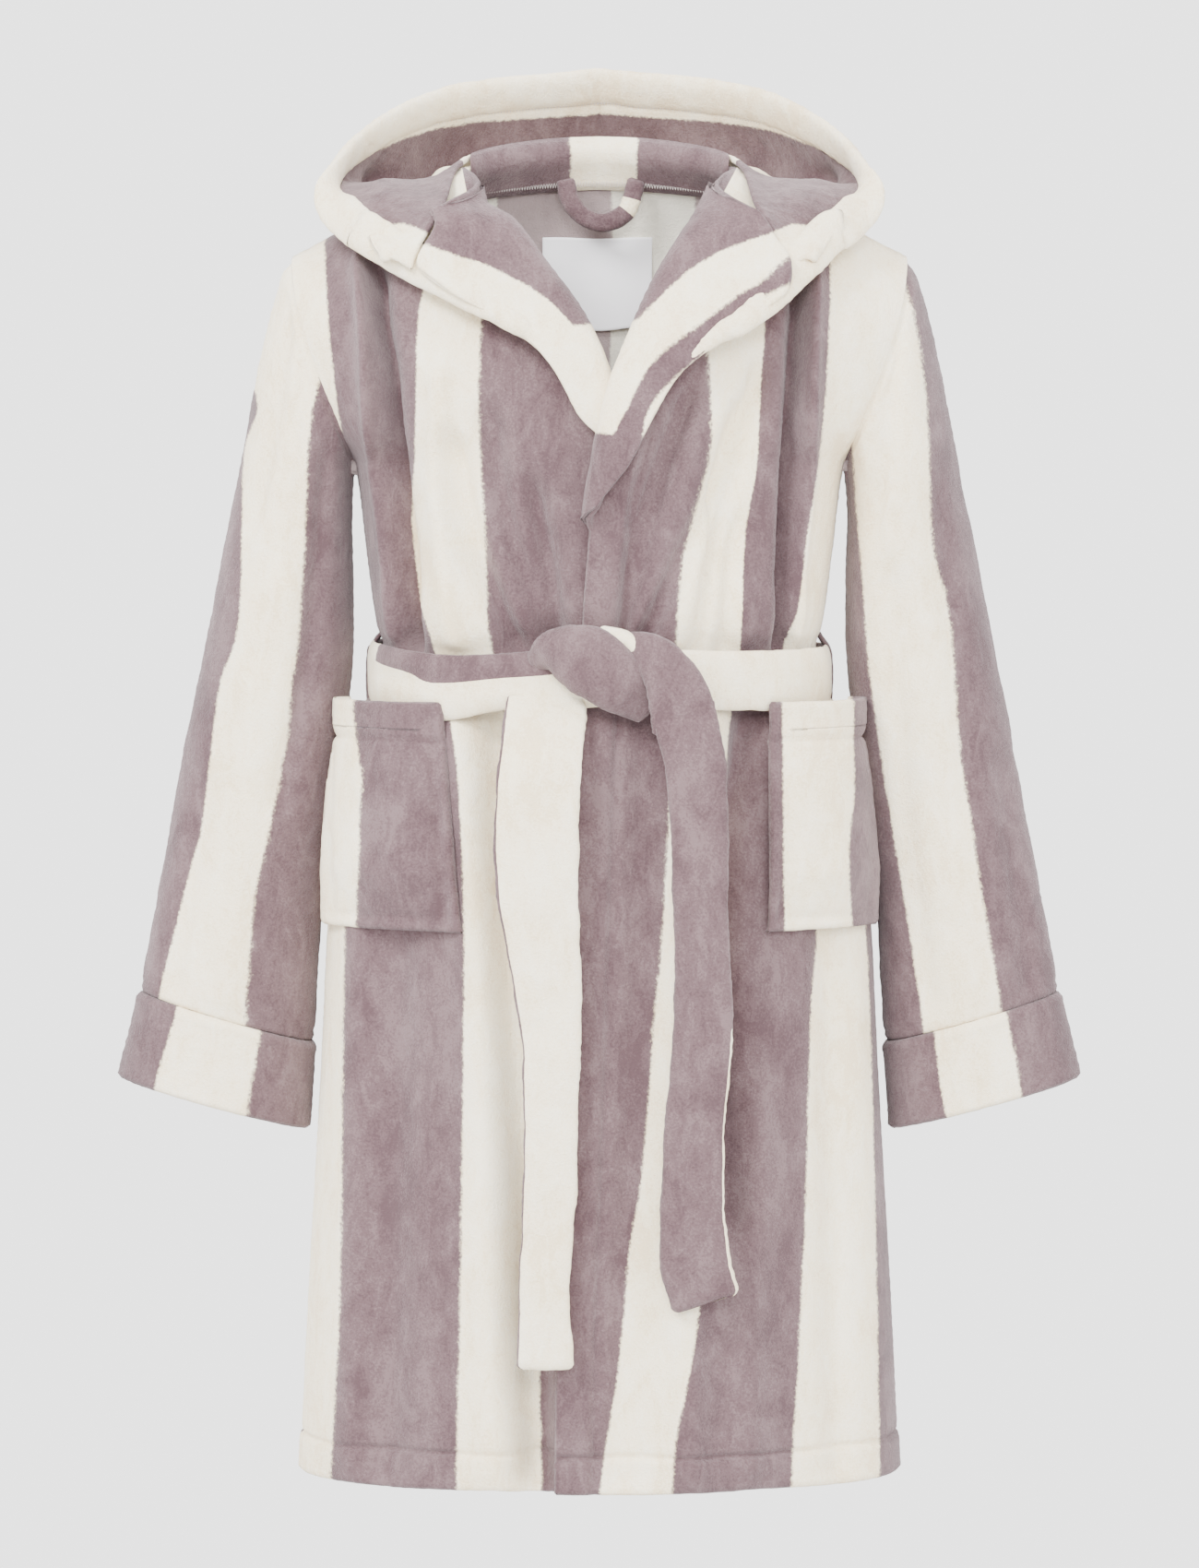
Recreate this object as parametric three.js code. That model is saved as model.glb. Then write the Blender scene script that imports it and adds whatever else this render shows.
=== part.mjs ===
// Hooded wrap robe in striped plush fleece, tied at the waist and filled out as if worn.
//
// Frame: millimetres, +Z up, the front faces -Y. The origin is the middle of the line between
// the shoulders, where a hanger or a wearer carries the robe. "right" and "left" are the
// wearer's own, so the right front is at -X. The left front laps over the right front.
//
// Cloth pieces are shells: a grid of points on the outer face, and the same grid moved
// inwards by the thickness of the cloth.

import * as THREE from 'three';

// ---- Driving dimensions ----

const CLOTH = 4;                 // plush fleece, pressed
const FACING_CLOTH = 3;          // facing strip
const TAPE_CLOTH = 2;            // neck tape and label
const SEAM_GAP = 0.5;            // clearance between pieces that are sewn together
const HEM_Z = -874;              // lower edge of the robe
const SHOULDER_TIP = { x: 208, z: -50 };
const NECK_POINT = { x: 93, z: 10 };
const UNDERARM = { x: 165, z: -190 };
const SHOULDER_ROUND = 75;       // height over which the shoulder turns into the chest
const SECTION_POWER = 2.4;       // 2 is an ellipse, more is boxier
const LAP_LIFT = 11;             // how far the left front stands off the right front
const LAP_REACH = 110;           // the lift has died away at this x
const LAP_FADE = 60;             // the lift comes in over this height below the neck
const ROLL_RADIUS = 3;           // turn of the lapel

const WAIST_Z = -334;            // middle of the belt
const BELT_HEIGHT = 38;
const WAIST_MARGIN = 3;          // the body is narrowest this far above and below the belt
const BELT_CLOTH = 8;            // the belt is a flattened tube of plush
const BELT_CLEARANCE = 1.2;      // between the belt and the robe under it
const TAIL_CLOTH = 10;           // a tail, two layers of plush and its seam
const TAIL_GAP = 3;              // the tails hang just clear of the skirt

const CUFF_CLOTH = 5;            // turned cuff band
const BRIM_CLOTH = 7;            // turned hem of the hood
const CUFF_PROUD = 1.5;          // the cuff band is wider than the sleeve end

// A patch pocket: its outline, and how far its middle stands off the front (slot).
const POCKET = {
  top: -371, bottom: -500, sideInset: 6, innerTop: 102, innerBottom: 91, slot: 16, gap: 0.8, topGap: 1.5,
};
const POCKET_SPANS = 8;

// The blank label's edges, and its clearance from the cloth behind it.
const LABEL = { x0: -39, x1: 36, top: -38, bottom: -99, gap: 0.9 };
const TAPE_DROP = 13;            // the tape's lower edge, below the neck point
const NECK_RISE = 12;            // the neckline rises this much to the middle of the back
const ARMHOLE_GAP = 0.8;         // clearance between a body panel and its sleeve
// The hanging loop: half-width at its ends and at its bottom, and its strap's section.
const LOOP = { x: 1.5, halfTop: 25, halfBottom: 8, drop: 28, thick: 5, wide: 9, overTape: 4, standOff: 3 };

// ---- Curves through named stations ----

// Smooth curve through [key, value] stations, evaluated at any key. It never overshoots them.
function track(stations) {
  const keys = stations.map(([key]) => key);
  const values = stations.map(([, value]) => value);
  return (key) => {
    const rising = keys[0] < keys[keys.length - 1];
    const past = (a, b) => (rising ? a <= b : a >= b);
    if (past(key, keys[0])) return values[0];
    for (let i = 1; i < keys.length; i += 1) {
      if (past(key, keys[i])) {
        const t = (key - keys[i - 1]) / (keys[i] - keys[i - 1]);
        const chord = (j) => (values[j + 1] - values[j]) / (keys[j + 1] - keys[j]);
        const slope = (j) => {
          if (j === 0) return chord(0);
          if (j === keys.length - 1) return chord(j - 1);
          const [before, after] = [chord(j - 1), chord(j)];
          return before * after <= 0 ? 0 : (2 * before * after) / (before + after);
        };
        const span = keys[i] - keys[i - 1];
        const [m0, m1] = [slope(i - 1) * span, slope(i) * span];
        const [t2, t3] = [t * t, t * t * t];
        const start = (2 * t3 - 3 * t2 + 1) * values[i - 1] + (t3 - 2 * t2 + t) * m0;
        return start + (3 * t2 - 2 * t3) * values[i] + (t3 - t2) * m1;
      }
    }
    return values[values.length - 1];
  };
}

const range = (count) => Array.from({ length: count + 1 }, (_, k) => k / count);
const mix = (a, b, t) => a + (b - a) * t;
const clamp01 = (t) => Math.min(Math.max(t, 0), 1);
const smooth = (t) => clamp01(t) ** 2 * (3 - 2 * clamp01(t));

// Half-width of the body at each height, without the shoulder slope.
const WAIST_TOP = WAIST_Z + BELT_HEIGHT / 2 + WAIST_MARGIN;
const WAIST_LOW = WAIST_Z - BELT_HEIGHT / 2 - WAIST_MARGIN;
const halfWidth = track([
  [20, 238], [SHOULDER_TIP.z, 236], [-120, 214], [-163, 190], [UNDERARM.z, UNDERARM.x],
  [-250, 156], [WAIST_TOP + 12, 149], [WAIST_TOP, 146], [WAIST_LOW, 146], [WAIST_LOW - 14, 162],
  [-400, 177], [-500, 185], [-600, 190], [-772, 200], [HEM_Z, 205],
]);
const frontDepth = track([
  [20, 62], [-60, 78], [-120, 92], [UNDERARM.z, 100], [-260, 96], [WAIST_TOP, 88],
  [WAIST_LOW, 88], [-400, 99], [-500, 104], [-700, 110], [HEM_Z, 112],
]);
const backDepth = track([
  [20, 66], [-60, 85], [-120, 98], [UNDERARM.z, 104], [-260, 99], [WAIST_TOP, 92],
  [WAIST_LOW, 92], [-400, 102], [-500, 106], [-700, 111], [HEM_Z, 112],
]);
const armholeX = track([
  [SHOULDER_TIP.z, SHOULDER_TIP.x], [-75, 205], [-120, 192], [-163, 175], [UNDERARM.z, UNDERARM.x],
]);

const RIDGE_SLOPE = (NECK_POINT.z - SHOULDER_TIP.z) / (SHOULDER_TIP.x - NECK_POINT.x);
const ridgeZ = (x) => NECK_POINT.z + (NECK_POINT.x - Math.abs(x)) * RIDGE_SLOPE;

// Depth of the body's outer face below the shoulder ridge, as a positive distance from y = 0.
function bodyDepth(x, z, depth) {
  const across = Math.min(Math.abs(x) / halfWidth(z), 1);
  const section = (1 - across ** SECTION_POWER) ** (1 / SECTION_POWER);
  const below = clamp01((ridgeZ(x) - z) / SHOULDER_ROUND);
  return depth(z) * section * Math.sqrt(1 - (1 - below) ** 2);
}

const lapLift = (x) => LAP_LIFT * (1 - smooth((x - LAP_REACH / 2) / (LAP_REACH / 2)));

// ---- Shells from grids of points ----

// A skin is a grid of points on an outer face, with a normal that points out at each.
// A point on a seam keeps its thickness in the plane of the seam.
function skin(grid, { turn = 1, closed = false, seam = () => [] } = {}) {
  const rows = grid.length;
  const cols = grid[0].length;
  const at = (i, j) => grid[i][closed ? (j + cols) % cols : Math.min(Math.max(j, 0), cols - 1)];
  const normals = grid.map((row, i) => row.map((point, j) => {
    const down = at(Math.min(i + 1, rows - 1), j).clone().sub(at(Math.max(i - 1, 0), j));
    const over = at(i, j + 1).clone().sub(at(i, j - 1));
    const normal = over.cross(down).multiplyScalar(turn);
    for (const axis of seam(point, i)) normal[axis] = 0;
    return normal.normalize();
  }));
  return { grid, normals, closed };
}

// Part of a skin, by rows and columns.
function cut({ grid, normals }, [rowFrom, rowTo], [colFrom, colTo]) {
  const part = (table) => table.slice(rowFrom, rowTo + 1).map((row) => row.slice(colFrom, colTo + 1));
  return { grid: part(grid), normals: part(normals), closed: false };
}

// The skin's grid, moved inwards by a depth that may differ from point to point.
function moved({ grid, normals }, depth) {
  return grid.map((row, i) => row.map((point, j) => {
    const distance = typeof depth === 'function' ? depth(i, j) : depth;
    return point.clone().addScaledVector(normals[i][j], -distance);
  }));
}

// Closed solid between two depths below a skin.
function layer(surface, near, far) {
  const [outer, inner] = [moved(surface, near), moved(surface, far)];
  const rows = outer.length;
  const cols = outer[0].length;
  const positions = [...outer.flat(), ...inner.flat()].flatMap((p) => [p.x, p.y, p.z]);
  const out = (i, j) => i * cols + (j % cols);
  const inn = (i, j) => rows * cols + out(i, j);
  const index = [];
  const quad = (a, b, c, d) => index.push(a, b, c, a, c, d);
  const spans = surface.closed ? cols : cols - 1;
  for (let i = 0; i < rows - 1; i += 1) {
    for (let j = 0; j < spans; j += 1) {
      quad(out(i, j), out(i, j + 1), out(i + 1, j + 1), out(i + 1, j));
      quad(inn(i, j), inn(i + 1, j), inn(i + 1, j + 1), inn(i, j + 1));
    }
  }
  for (let j = 0; j < spans; j += 1) {
    quad(out(0, j + 1), out(0, j), inn(0, j), inn(0, j + 1));
    quad(out(rows - 1, j), out(rows - 1, j + 1), inn(rows - 1, j + 1), inn(rows - 1, j));
  }
  if (!surface.closed) {
    for (let i = 0; i < rows - 1; i += 1) {
      quad(out(i, 0), out(i + 1, 0), inn(i + 1, 0), inn(i, 0));
      quad(out(i + 1, cols - 1), out(i, cols - 1), inn(i, cols - 1), inn(i + 1, cols - 1));
    }
  }
  const geometry = new THREE.BufferGeometry();
  geometry.setAttribute('position', new THREE.Float32BufferAttribute(positions, 3));
  geometry.setIndex(turnedOutwards(positions, index));
  return geometry;
}

// The faces all point out, or are all turned over.
function turnedOutwards(positions, index) {
  const corner = (k) => new THREE.Vector3().fromArray(positions, 3 * k);
  let volume = 0;
  for (let k = 0; k < index.length; k += 3) {
    const [a, b, c] = [corner(index[k]), corner(index[k + 1]), corner(index[k + 2])];
    volume += a.dot(b.cross(c));
  }
  if (volume > 0) return index;
  const turned = [];
  for (let k = 0; k < index.length; k += 3) turned.push(index[k], index[k + 2], index[k + 1]);
  return turned;
}

const onSidePlane = (point) => (Math.abs(point.y) < 1 ? ['y'] : []);
const onCentrePlane = (point) => (Math.abs(point.x) < 1 ? ['x'] : []);

const sideSpacing = (u) => 1 - Math.cos((u * Math.PI) / 2) ** (2 / SECTION_POWER);

// ---- Body panels ----

// Rows of the body panels: height at the side edge and at the middle edge.
const ROWS = [
  [SHOULDER_TIP.z, NECK_POINT.z], [-58, NECK_POINT.z - TAPE_DROP], [-74, -25], [-96, -48], [-118, -74],
  [-140, -100], [-165, -128], [UNDERARM.z, -158], [-212, -198], [-250, -246],
  [WAIST_TOP + 4, WAIST_TOP + 4], [WAIST_TOP - 4, WAIST_TOP - 4], [WAIST_LOW + 2, WAIST_LOW + 2],
  [WAIST_LOW - 10, WAIST_LOW - 10], [-385, -385], [-430, -430], [-500, -500], [-620, -620],
  [-750, -750], [HEM_Z, HEM_Z],
];

const sideX = (z) => (z > UNDERARM.z ? armholeX(z) : halfWidth(z));

// Where each front turns over (above the crossing) or ends (below it), measured towards its side.
const leftRollX = track([
  [NECK_POINT.z, NECK_POINT.x], [-25, 74], [-74, 45], [-121, 25], [-166, 11], [-220, -3],
  [-300, -8], [-430, -14], [-620, -18], [HEM_Z, -24],
]);
const rightRollX = track([
  [NECK_POINT.z, NECK_POINT.x], [-25, 80], [-78, 42], [-121, 17], [-146, 4], [-166, -12],
  [-220, -32], [-300, -48], [-430, -52], [HEM_Z, -52],
]);
// Width of the turned-over part, from the roll to the sewn edge.
const leftLapel = track([
  [NECK_POINT.z, 0.5], [-22, 26], [-50, 56], [-76, 74], [-96, 62], [-124, 32], [-150, 16], [-176, 8],
  [-205, 4], [HEM_Z, 4],
]);
const rightLapel = track([
  [NECK_POINT.z, 0.5], [-22, 26], [-50, 56], [-76, 68], [-96, 50], [-124, 18], [-146, 5], [HEM_Z, 4],
]);
// How far each lapel has turned over, in radians, by height at the roll.
const leftTurn = track([
  [NECK_POINT.z, 0], [-5, 1.6], [-22, 2.8], [-45, 3.14], [-150, 3.14], [-205, 1.3], [-240, 0],
]);
const rightTurn = track([
  [NECK_POINT.z, 0], [-5, 1.6], [-22, 2.8], [-45, 3.14], [-96, 3.14], [-124, 2.2], [-150, 0],
]);

const FRONT_SPANS = 11;
const TURN_SPANS = 4;
const LAPEL_SPANS = 2;
const FACING_SPANS = LAPEL_SPANS + TURN_SPANS + 2;

// Outer face of one front: from the side edge to the turn of the lapel, round it, and out to
// the sewn front edge. side is -1 for the wearer's right.
function frontGrid(side) {
  const rollX = side < 0 ? rightRollX : leftRollX;
  const turn = side < 0 ? rightTurn : leftTurn;
  const lapelWidth = side < 0 ? rightLapel : leftLapel;
  const lift = side < 0 ? () => 0 : lapLift;
  return ROWS.map(([sideZ, middleZ]) => {
    const row = range(FRONT_SPANS).map((u) => {
      const x = mix(sideX(sideZ), rollX(middleZ), sideSpacing(u));
      const z = mix(sideZ, middleZ, sideSpacing(u));
      const raised = lift(x) * smooth((NECK_POINT.z - z) / LAP_FADE);
      const y = -bodyDepth(x, z, frontDepth) - raised - SEAM_GAP / 2;
      return new THREE.Vector3(side * x, y, z);
    });
    const last = row[row.length - 1];
    const along = last.clone().sub(row[row.length - 2]).setZ(0).normalize();
    const away = new THREE.Vector3(0, -1, 0).addScaledVector(along, along.y).normalize();
    const angle = turn(middleZ);
    const turned = range(TURN_SPANS).slice(1).map((u) => {
      const step = last.clone().addScaledVector(along, ROLL_RADIUS * Math.sin(angle * u) + u);
      return step.addScaledVector(away, ROLL_RADIUS * (1 - Math.cos(angle * u)));
    });
    const from = turned[turned.length - 1];
    const heading = along.clone().multiplyScalar(Math.cos(angle)).addScaledVector(away, Math.sin(angle));
    const lapel = range(LAPEL_SPANS).slice(1).map((u) => (
      from.clone().addScaledVector(heading, u * lapelWidth(middleZ))
    ));
    return [...row, ...turned, ...lapel];
  });
}

const frontSkin = (side) => skin(frontGrid(side), { turn: side, seam: onSidePlane });

const frontPanel = (side) => layer(frontSkin(side), 0, CLOTH);

// Strip sewn inside the front edge, from the neck seam to the hem.
function frontFacing(side) {
  const surface = frontSkin(side);
  const edge = surface.grid[0].length - 1;
  const strip = cut(surface, [0, ROWS.length - 1], [edge - FACING_SPANS, edge]);
  return layer(strip, CLOTH + SEAM_GAP, CLOTH + SEAM_GAP + FACING_CLOTH);
}

// Back panel, from one side edge to the other, with the neckline along its top.
const NECK_SHARE = NECK_POINT.x / SHOULDER_TIP.x;
const SIDE_SPANS = 7;
const NECK_SPANS = 10;
const neckAngle = Math.acos(NECK_SHARE ** (SECTION_POWER / 2));
const sideShares = range(SIDE_SPANS).map((u) => Math.cos(u * neckAngle) ** (2 / SECTION_POWER));
const neckShares = range(NECK_SPANS).map((u) => NECK_SHARE * (1 - 2 * u)).slice(1, -1);
const SHARES = [...sideShares, ...neckShares, ...sideShares.map((share) => -share).reverse()];

function backGrid() {
  return ROWS.map(([sideZ, middleZ], i) => SHARES.map((share) => {
    const x = sideX(sideZ) * share;
    const towards = Math.min((1 - Math.abs(share)) / (1 - NECK_SHARE), 1);
    const rise = i === 0 ? NECK_RISE * (1 - Math.min(Math.abs(share) / NECK_SHARE, 1) ** 2) : 0;
    const z = mix(sideZ, middleZ, towards) + rise;
    return new THREE.Vector3(x, bodyDepth(x, z, backDepth) + SEAM_GAP / 2, z);
  }));
}
const backSkin = skin(backGrid(), { turn: -1, seam: onSidePlane });

// Tape over the seam between the back and the hood.
function neckTape() {
  const ends = [SIDE_SPANS + 1, SIDE_SPANS + NECK_SPANS - 1];
  return layer(cut(backSkin, [0, 1], ends), CLOTH + SEAM_GAP, CLOTH + SEAM_GAP + TAPE_CLOTH);
}

// Blank woven label, sewn to the inner face of the back below the tape.
function neckLabel() {
  const grid = range(4).map((v) => range(4).map((u) => {
    const [x, z] = [mix(LABEL.x0, LABEL.x1, u), mix(LABEL.top, LABEL.bottom, v)];
    return new THREE.Vector3(x, bodyDepth(x, z, backDepth), z);
  }));
  return layer(skin(grid), CLOTH + LABEL.gap, CLOTH + LABEL.gap + TAPE_CLOTH);
}

// ---- Sleeves ----

// The sleeve's upper and lower edge, from the armhole (0) to the cuff seam (1).
const outerX = track([
  [0, SHOULDER_TIP.x], [0.06, 219], [0.15, 229], [0.35, 250], [0.55, 272], [0.8, 298], [1, 314],
]);
const outerZ = track([
  [0, SHOULDER_TIP.z], [0.06, -74], [0.15, -116], [0.35, -220], [0.55, -330], [0.8, -462], [1, -550],
]);
const innerX = track([
  [0, UNDERARM.x], [0.06, 168], [0.15, 170], [0.35, 169], [0.55, 177], [0.8, 192], [1, 197],
]);
const innerZ = track([
  [0, UNDERARM.z], [0.06, -200], [0.15, -228], [0.35, -300], [0.55, -390], [0.8, -504], [1, -584],
]);
const sleeveOuter = (s) => [outerX(s), outerZ(s)];
const sleeveInner = (s) => [innerX(s), innerZ(s)];
// Half-depth of the sleeve, and how far its middle lies behind y = 0.
const sleeveDepth = track([[0, 50], [0.15, 56], [0.4, 50], [0.7, 43], [1, 39]]);
const sleeveBackset = track([[0, 2], [0.4, 6], [1, 8]]);
const CUFF_END = { outer: [328, -607], inner: [200, -642], depth: 39 };
const SLEEVE_AROUND = 16;
const SLEEVE_RINGS = [0, 0.05, 0.1, 0.18, 0.28, 0.4, 0.53, 0.66, 0.8, 1];
const ARMHOLE_FADE = 0.2;         // the sleeve has its own oval section from here down

// Ring through an outer and an inner point, with a half-depth front to back.
function sleeveRing(side, outer, inner, depth, backset, grow = 0) {
  const length = Math.hypot(outer[0] - inner[0], outer[1] - inner[1]);
  const scale = 1 + (2 * grow) / length;
  return range(SLEEVE_AROUND).slice(0, -1).map((u) => {
    const angle = 2 * Math.PI * u;
    const half = (Math.cos(angle) * scale) / 2;
    const x = (outer[0] + inner[0]) / 2 + (outer[0] - inner[0]) * half;
    const z = (outer[1] + inner[1]) / 2 + (outer[1] - inner[1]) * half;
    return new THREE.Vector3(side * x, backset - (depth + grow) * Math.sin(angle), z);
  });
}

// The armhole, as the ring that the sleeve starts from.
function armholeRing(side) {
  return range(SLEEVE_AROUND).slice(0, -1).map((u) => {
    const angle = 2 * Math.PI * u;
    const z = mix(SHOULDER_TIP.z, UNDERARM.z, (1 - Math.cos(angle)) / 2);
    const front = Math.sin(angle) >= 0;
    const depth = bodyDepth(armholeX(z), z, front ? frontDepth : backDepth);
    return new THREE.Vector3(side * (armholeX(z) + ARMHOLE_GAP), front ? -depth : depth, z);
  });
}

function sleeveGrid(side) {
  const first = armholeRing(side);
  const oval = sleeveRing(side, sleeveOuter(0), sleeveInner(0), sleeveDepth(0), sleeveBackset(0));
  return SLEEVE_RINGS.map((s) => {
    const ring = sleeveRing(side, sleeveOuter(s), sleeveInner(s), sleeveDepth(s), sleeveBackset(s));
    const keep = 1 - smooth(s / ARMHOLE_FADE);
    return ring.map((p, k) => p.addScaledVector(first[k].clone().sub(oval[k]), keep));
  });
}

function sleeve(side) {
  const seam = (point, i) => (i === 0 ? ['x'] : []);
  return layer(skin(sleeveGrid(side), { turn: side, closed: true, seam }), 0, CLOTH);
}

function cuff(side) {
  const [topOuter, topInner] = [sleeveOuter(1), sleeveInner(1)];
  const grid = [0, 0.5, 1].map((s) => {
    const drop = (from, to) => from.map((value, k) => mix(value, to[k], s));
    const outer = drop([topOuter[0], topOuter[1] - SEAM_GAP], CUFF_END.outer);
    const inner = drop([topInner[0], topInner[1] - SEAM_GAP], CUFF_END.inner);
    const depth = mix(sleeveDepth(1), CUFF_END.depth, s);
    return sleeveRing(side, outer, inner, depth, sleeveBackset(1), CUFF_PROUD);
  });
  return layer(skin(grid, { turn: side, closed: true }), 0, CUFF_CLOTH);
}

// ---- Hood, lying open behind the neck ----

// Each station runs from the front corner (0) over the shoulder to the middle of the back (1).
// The pouch curve is the control line that lets the cloth sag between the seam and the rim.
const curveThrough = (points) => (
  new THREE.CatmullRomCurve3(points.map((p) => new THREE.Vector3(...p)), false, 'catmullrom', 0.5)
);
const hoodSeam = curveThrough([
  [129, -93, -70], [121, -88, -48], [104, -66, -18], [93.5, 0, NECK_POINT.z + 1], [64, 45, 20], [0, 62, 24],
]);
const hoodPouch = curveThrough([
  [132, -97, -69], [140, -92, -50], [160, -50, -34], [214, 40, -36], [120, 190, -62], [0, 236, -72],
]);
const hoodRim = curveThrough([
  [135, -99, -67], [154, -84, -44], [176, -40, -8], [166, 30, 30], [108, 96, 67], [0, 128, 82],
]);

// Outer face of one half. across runs from the neck seam (0) to the rim (1).
function hoodPoint(side, around, across) {
  const [seam, pouch, rim] = [hoodSeam, hoodPouch, hoodRim].map((curve) => curve.getPoint(around));
  const back = 1 - across;
  const point = seam.multiplyScalar(back * back).addScaledVector(pouch, 2 * back * across);
  point.addScaledVector(rim, across * across);
  point.x = side * Math.max(point.x, around === 1 ? SEAM_GAP / 2 : 0);
  return point;
}

// The half runs to the turned hem of the rim, which carries on as a thicker band.
const HEM_ACROSS = [0.93, 0.97, 1];
const HALF_ACROSS = range(7).map((u) => u * 0.9);

const HOOD_SPANS = 15;

function hoodSkin(side) {
  const across = [...HALF_ACROSS, ...HEM_ACROSS];
  const grid = range(HOOD_SPANS).map((around) => across.map((step) => hoodPoint(side, around, step)));
  const surface = skin(grid, { turn: -side, seam: onCentrePlane });
  for (const row of surface.normals) {
    const [half, hem] = [row[HALF_ACROSS.length - 1], row[HALF_ACROSS.length]];
    hem.copy(half.add(hem).normalize());
    half.copy(hem);
  }
  return surface;
}

function hoodHalf(side) {
  const surface = hoodSkin(side);
  return layer(cut(surface, [0, surface.grid.length - 1], [0, HALF_ACROSS.length - 1]), 0, CLOTH);
}

function hoodBrim(side) {
  const surface = hoodSkin(side);
  const last = surface.grid[0].length - 1;
  return layer(cut(surface, [0, surface.grid.length - 1], [HALF_ACROSS.length, last]), 0,
    (i, j) => (j === 0 ? CLOTH : BRIM_CLOTH));
}

// ---- Pockets ----

function pocket(side) {
  const lift = side < 0 ? () => 0 : lapLift;
  const face = range(POCKET_SPANS).map((v) => range(POCKET_SPANS).map((u) => {
    const z = mix(POCKET.top, POCKET.bottom, v);
    const inner = mix(POCKET.innerTop, POCKET.innerBottom, v);
    const x = mix(halfWidth(z) - POCKET.sideInset, inner, u);
    return new THREE.Vector3(side * x, -bodyDepth(x, z, frontDepth) - lift(x), z);
  }));
  const reach = (i, j) => {
    const [u, v] = [j / POCKET_SPANS, i / POCKET_SPANS];
    const belly = Math.sin(u * Math.PI) ** 0.5 * Math.min(1, (1 - v) * 4);
    return POCKET.gap + POCKET.topGap * (1 - v) + POCKET.slot * belly;
  };
  const surface = skin(face, { turn: side });
  return layer(surface, (i, j) => -reach(i, j) - CLOTH, (i, j) => -reach(i, j));
}

// ---- Belt ----

const BELT_AROUND = 48;
const BELT_INNER = {
  side: halfWidth(WAIST_Z) + BELT_CLEARANCE,
  front: frontDepth(WAIST_Z) + LAP_LIFT + BELT_CLEARANCE,
  back: backDepth(WAIST_Z) + BELT_CLEARANCE,
};

function beltRing(grow, z) {
  return range(BELT_AROUND).slice(0, -1).map((u) => {
    const angle = 2 * Math.PI * u;
    const [c, s] = [Math.cos(angle), Math.sin(angle)];
    const power = 2 / SECTION_POWER;
    const depth = s < 0 ? BELT_INNER.front : BELT_INNER.back;
    const x = (BELT_INNER.side + grow) * Math.sign(c) * Math.abs(c) ** power;
    const y = (depth + grow) * Math.sign(s) * Math.abs(s) ** power;
    return new THREE.Vector3(x, y, z);
  });
}

function waistBand() {
  const [top, low] = [WAIST_Z + BELT_HEIGHT / 2, WAIST_Z - BELT_HEIGHT / 2];
  const grid = [beltRing(BELT_CLOTH, top), beltRing(BELT_CLOTH, low)];
  return layer(skin(grid, { turn: -1, closed: true }), 0, BELT_CLOTH);
}

// Half knot in front of the belt: a flattened lens, tilted down to the wearer's left.
const KNOT = { x: -5, z: -325, halfWide: 42, halfHigh: 25, halfDeep: 14, tilt: -0.42 };
const KNOT_Y = -(BELT_INNER.front + BELT_CLOTH + SEAM_GAP + KNOT.halfDeep);

function knot() {
  const geometry = new THREE.SphereGeometry(1, 20, 12);
  geometry.scale(KNOT.halfWide, KNOT.halfDeep, KNOT.halfHigh);
  geometry.rotateY(-KNOT.tilt);
  return geometry;
}

// A tail follows its own middle line: [z, x, half-width] stations from the knot to the end.
const TAIL_SPANS = 12;
const TAIL_Y = -(frontDepth(HEM_Z) + LAP_LIFT + TAIL_GAP + TAIL_CLOTH / 2);
const RIGHT_TAIL = [[-348.2, -37, 27], [-440, -41, 27], [-560, -33, 22], [-660, -33, 18], [-782, -34, 18]];
const LEFT_TAIL = [[-350, 42, 22], [-430, 65, 21], [-560, 70, 19], [-650, 66, 20], [-740, 70, 23]];

function tail(stations) {
  const middle = track(stations.map(([z, x]) => [z, x]));
  const half = track(stations.map(([z, , w]) => [z, w]));
  const [top, bottom] = [stations[0][0], stations[stations.length - 1][0]];
  const rings = range(TAIL_SPANS).map((v) => {
    const z = mix(top, bottom, v);
    const edge = TAIL_CLOTH / 4;
    const outline = [[-1, -edge], [-0.85, -2 * edge], [0.85, -2 * edge], [1, -edge],
      [1, edge], [0.85, 2 * edge], [-0.85, 2 * edge], [-1, edge]];
    return outline.map(([w, y]) => new THREE.Vector3(middle(z) + w * half(z), TAIL_Y + y, z));
  });
  return solidStack(rings);
}

// Solid through a stack of rings, closed at both ends with a fan.
function solidStack(rings) {
  const count = rings[0].length;
  const positions = rings.flat().flatMap((p) => [p.x, p.y, p.z]);
  const index = [];
  for (let i = 0; i < rings.length - 1; i += 1) {
    for (let j = 0; j < count; j += 1) {
      const [a, b] = [i * count + j, i * count + ((j + 1) % count)];
      index.push(a, b, b + count, a, b + count, a + count);
    }
  }
  const end = (rings.length - 1) * count;
  for (let j = 1; j < count - 1; j += 1) {
    index.push(0, j + 1, j);
    index.push(end, end + j, end + j + 1);
  }
  const geometry = new THREE.BufferGeometry();
  geometry.setAttribute('position', new THREE.Float32BufferAttribute(positions, 3));
  geometry.setIndex(turnedOutwards(positions, index));
  return geometry;
}

// Carrier loop at each side seam: a strip that bridges the belt.
const BELT_LOOP = { wide: 9, thick: 3, top: WAIST_TOP + 7, low: WAIST_LOW - 7 };

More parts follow.
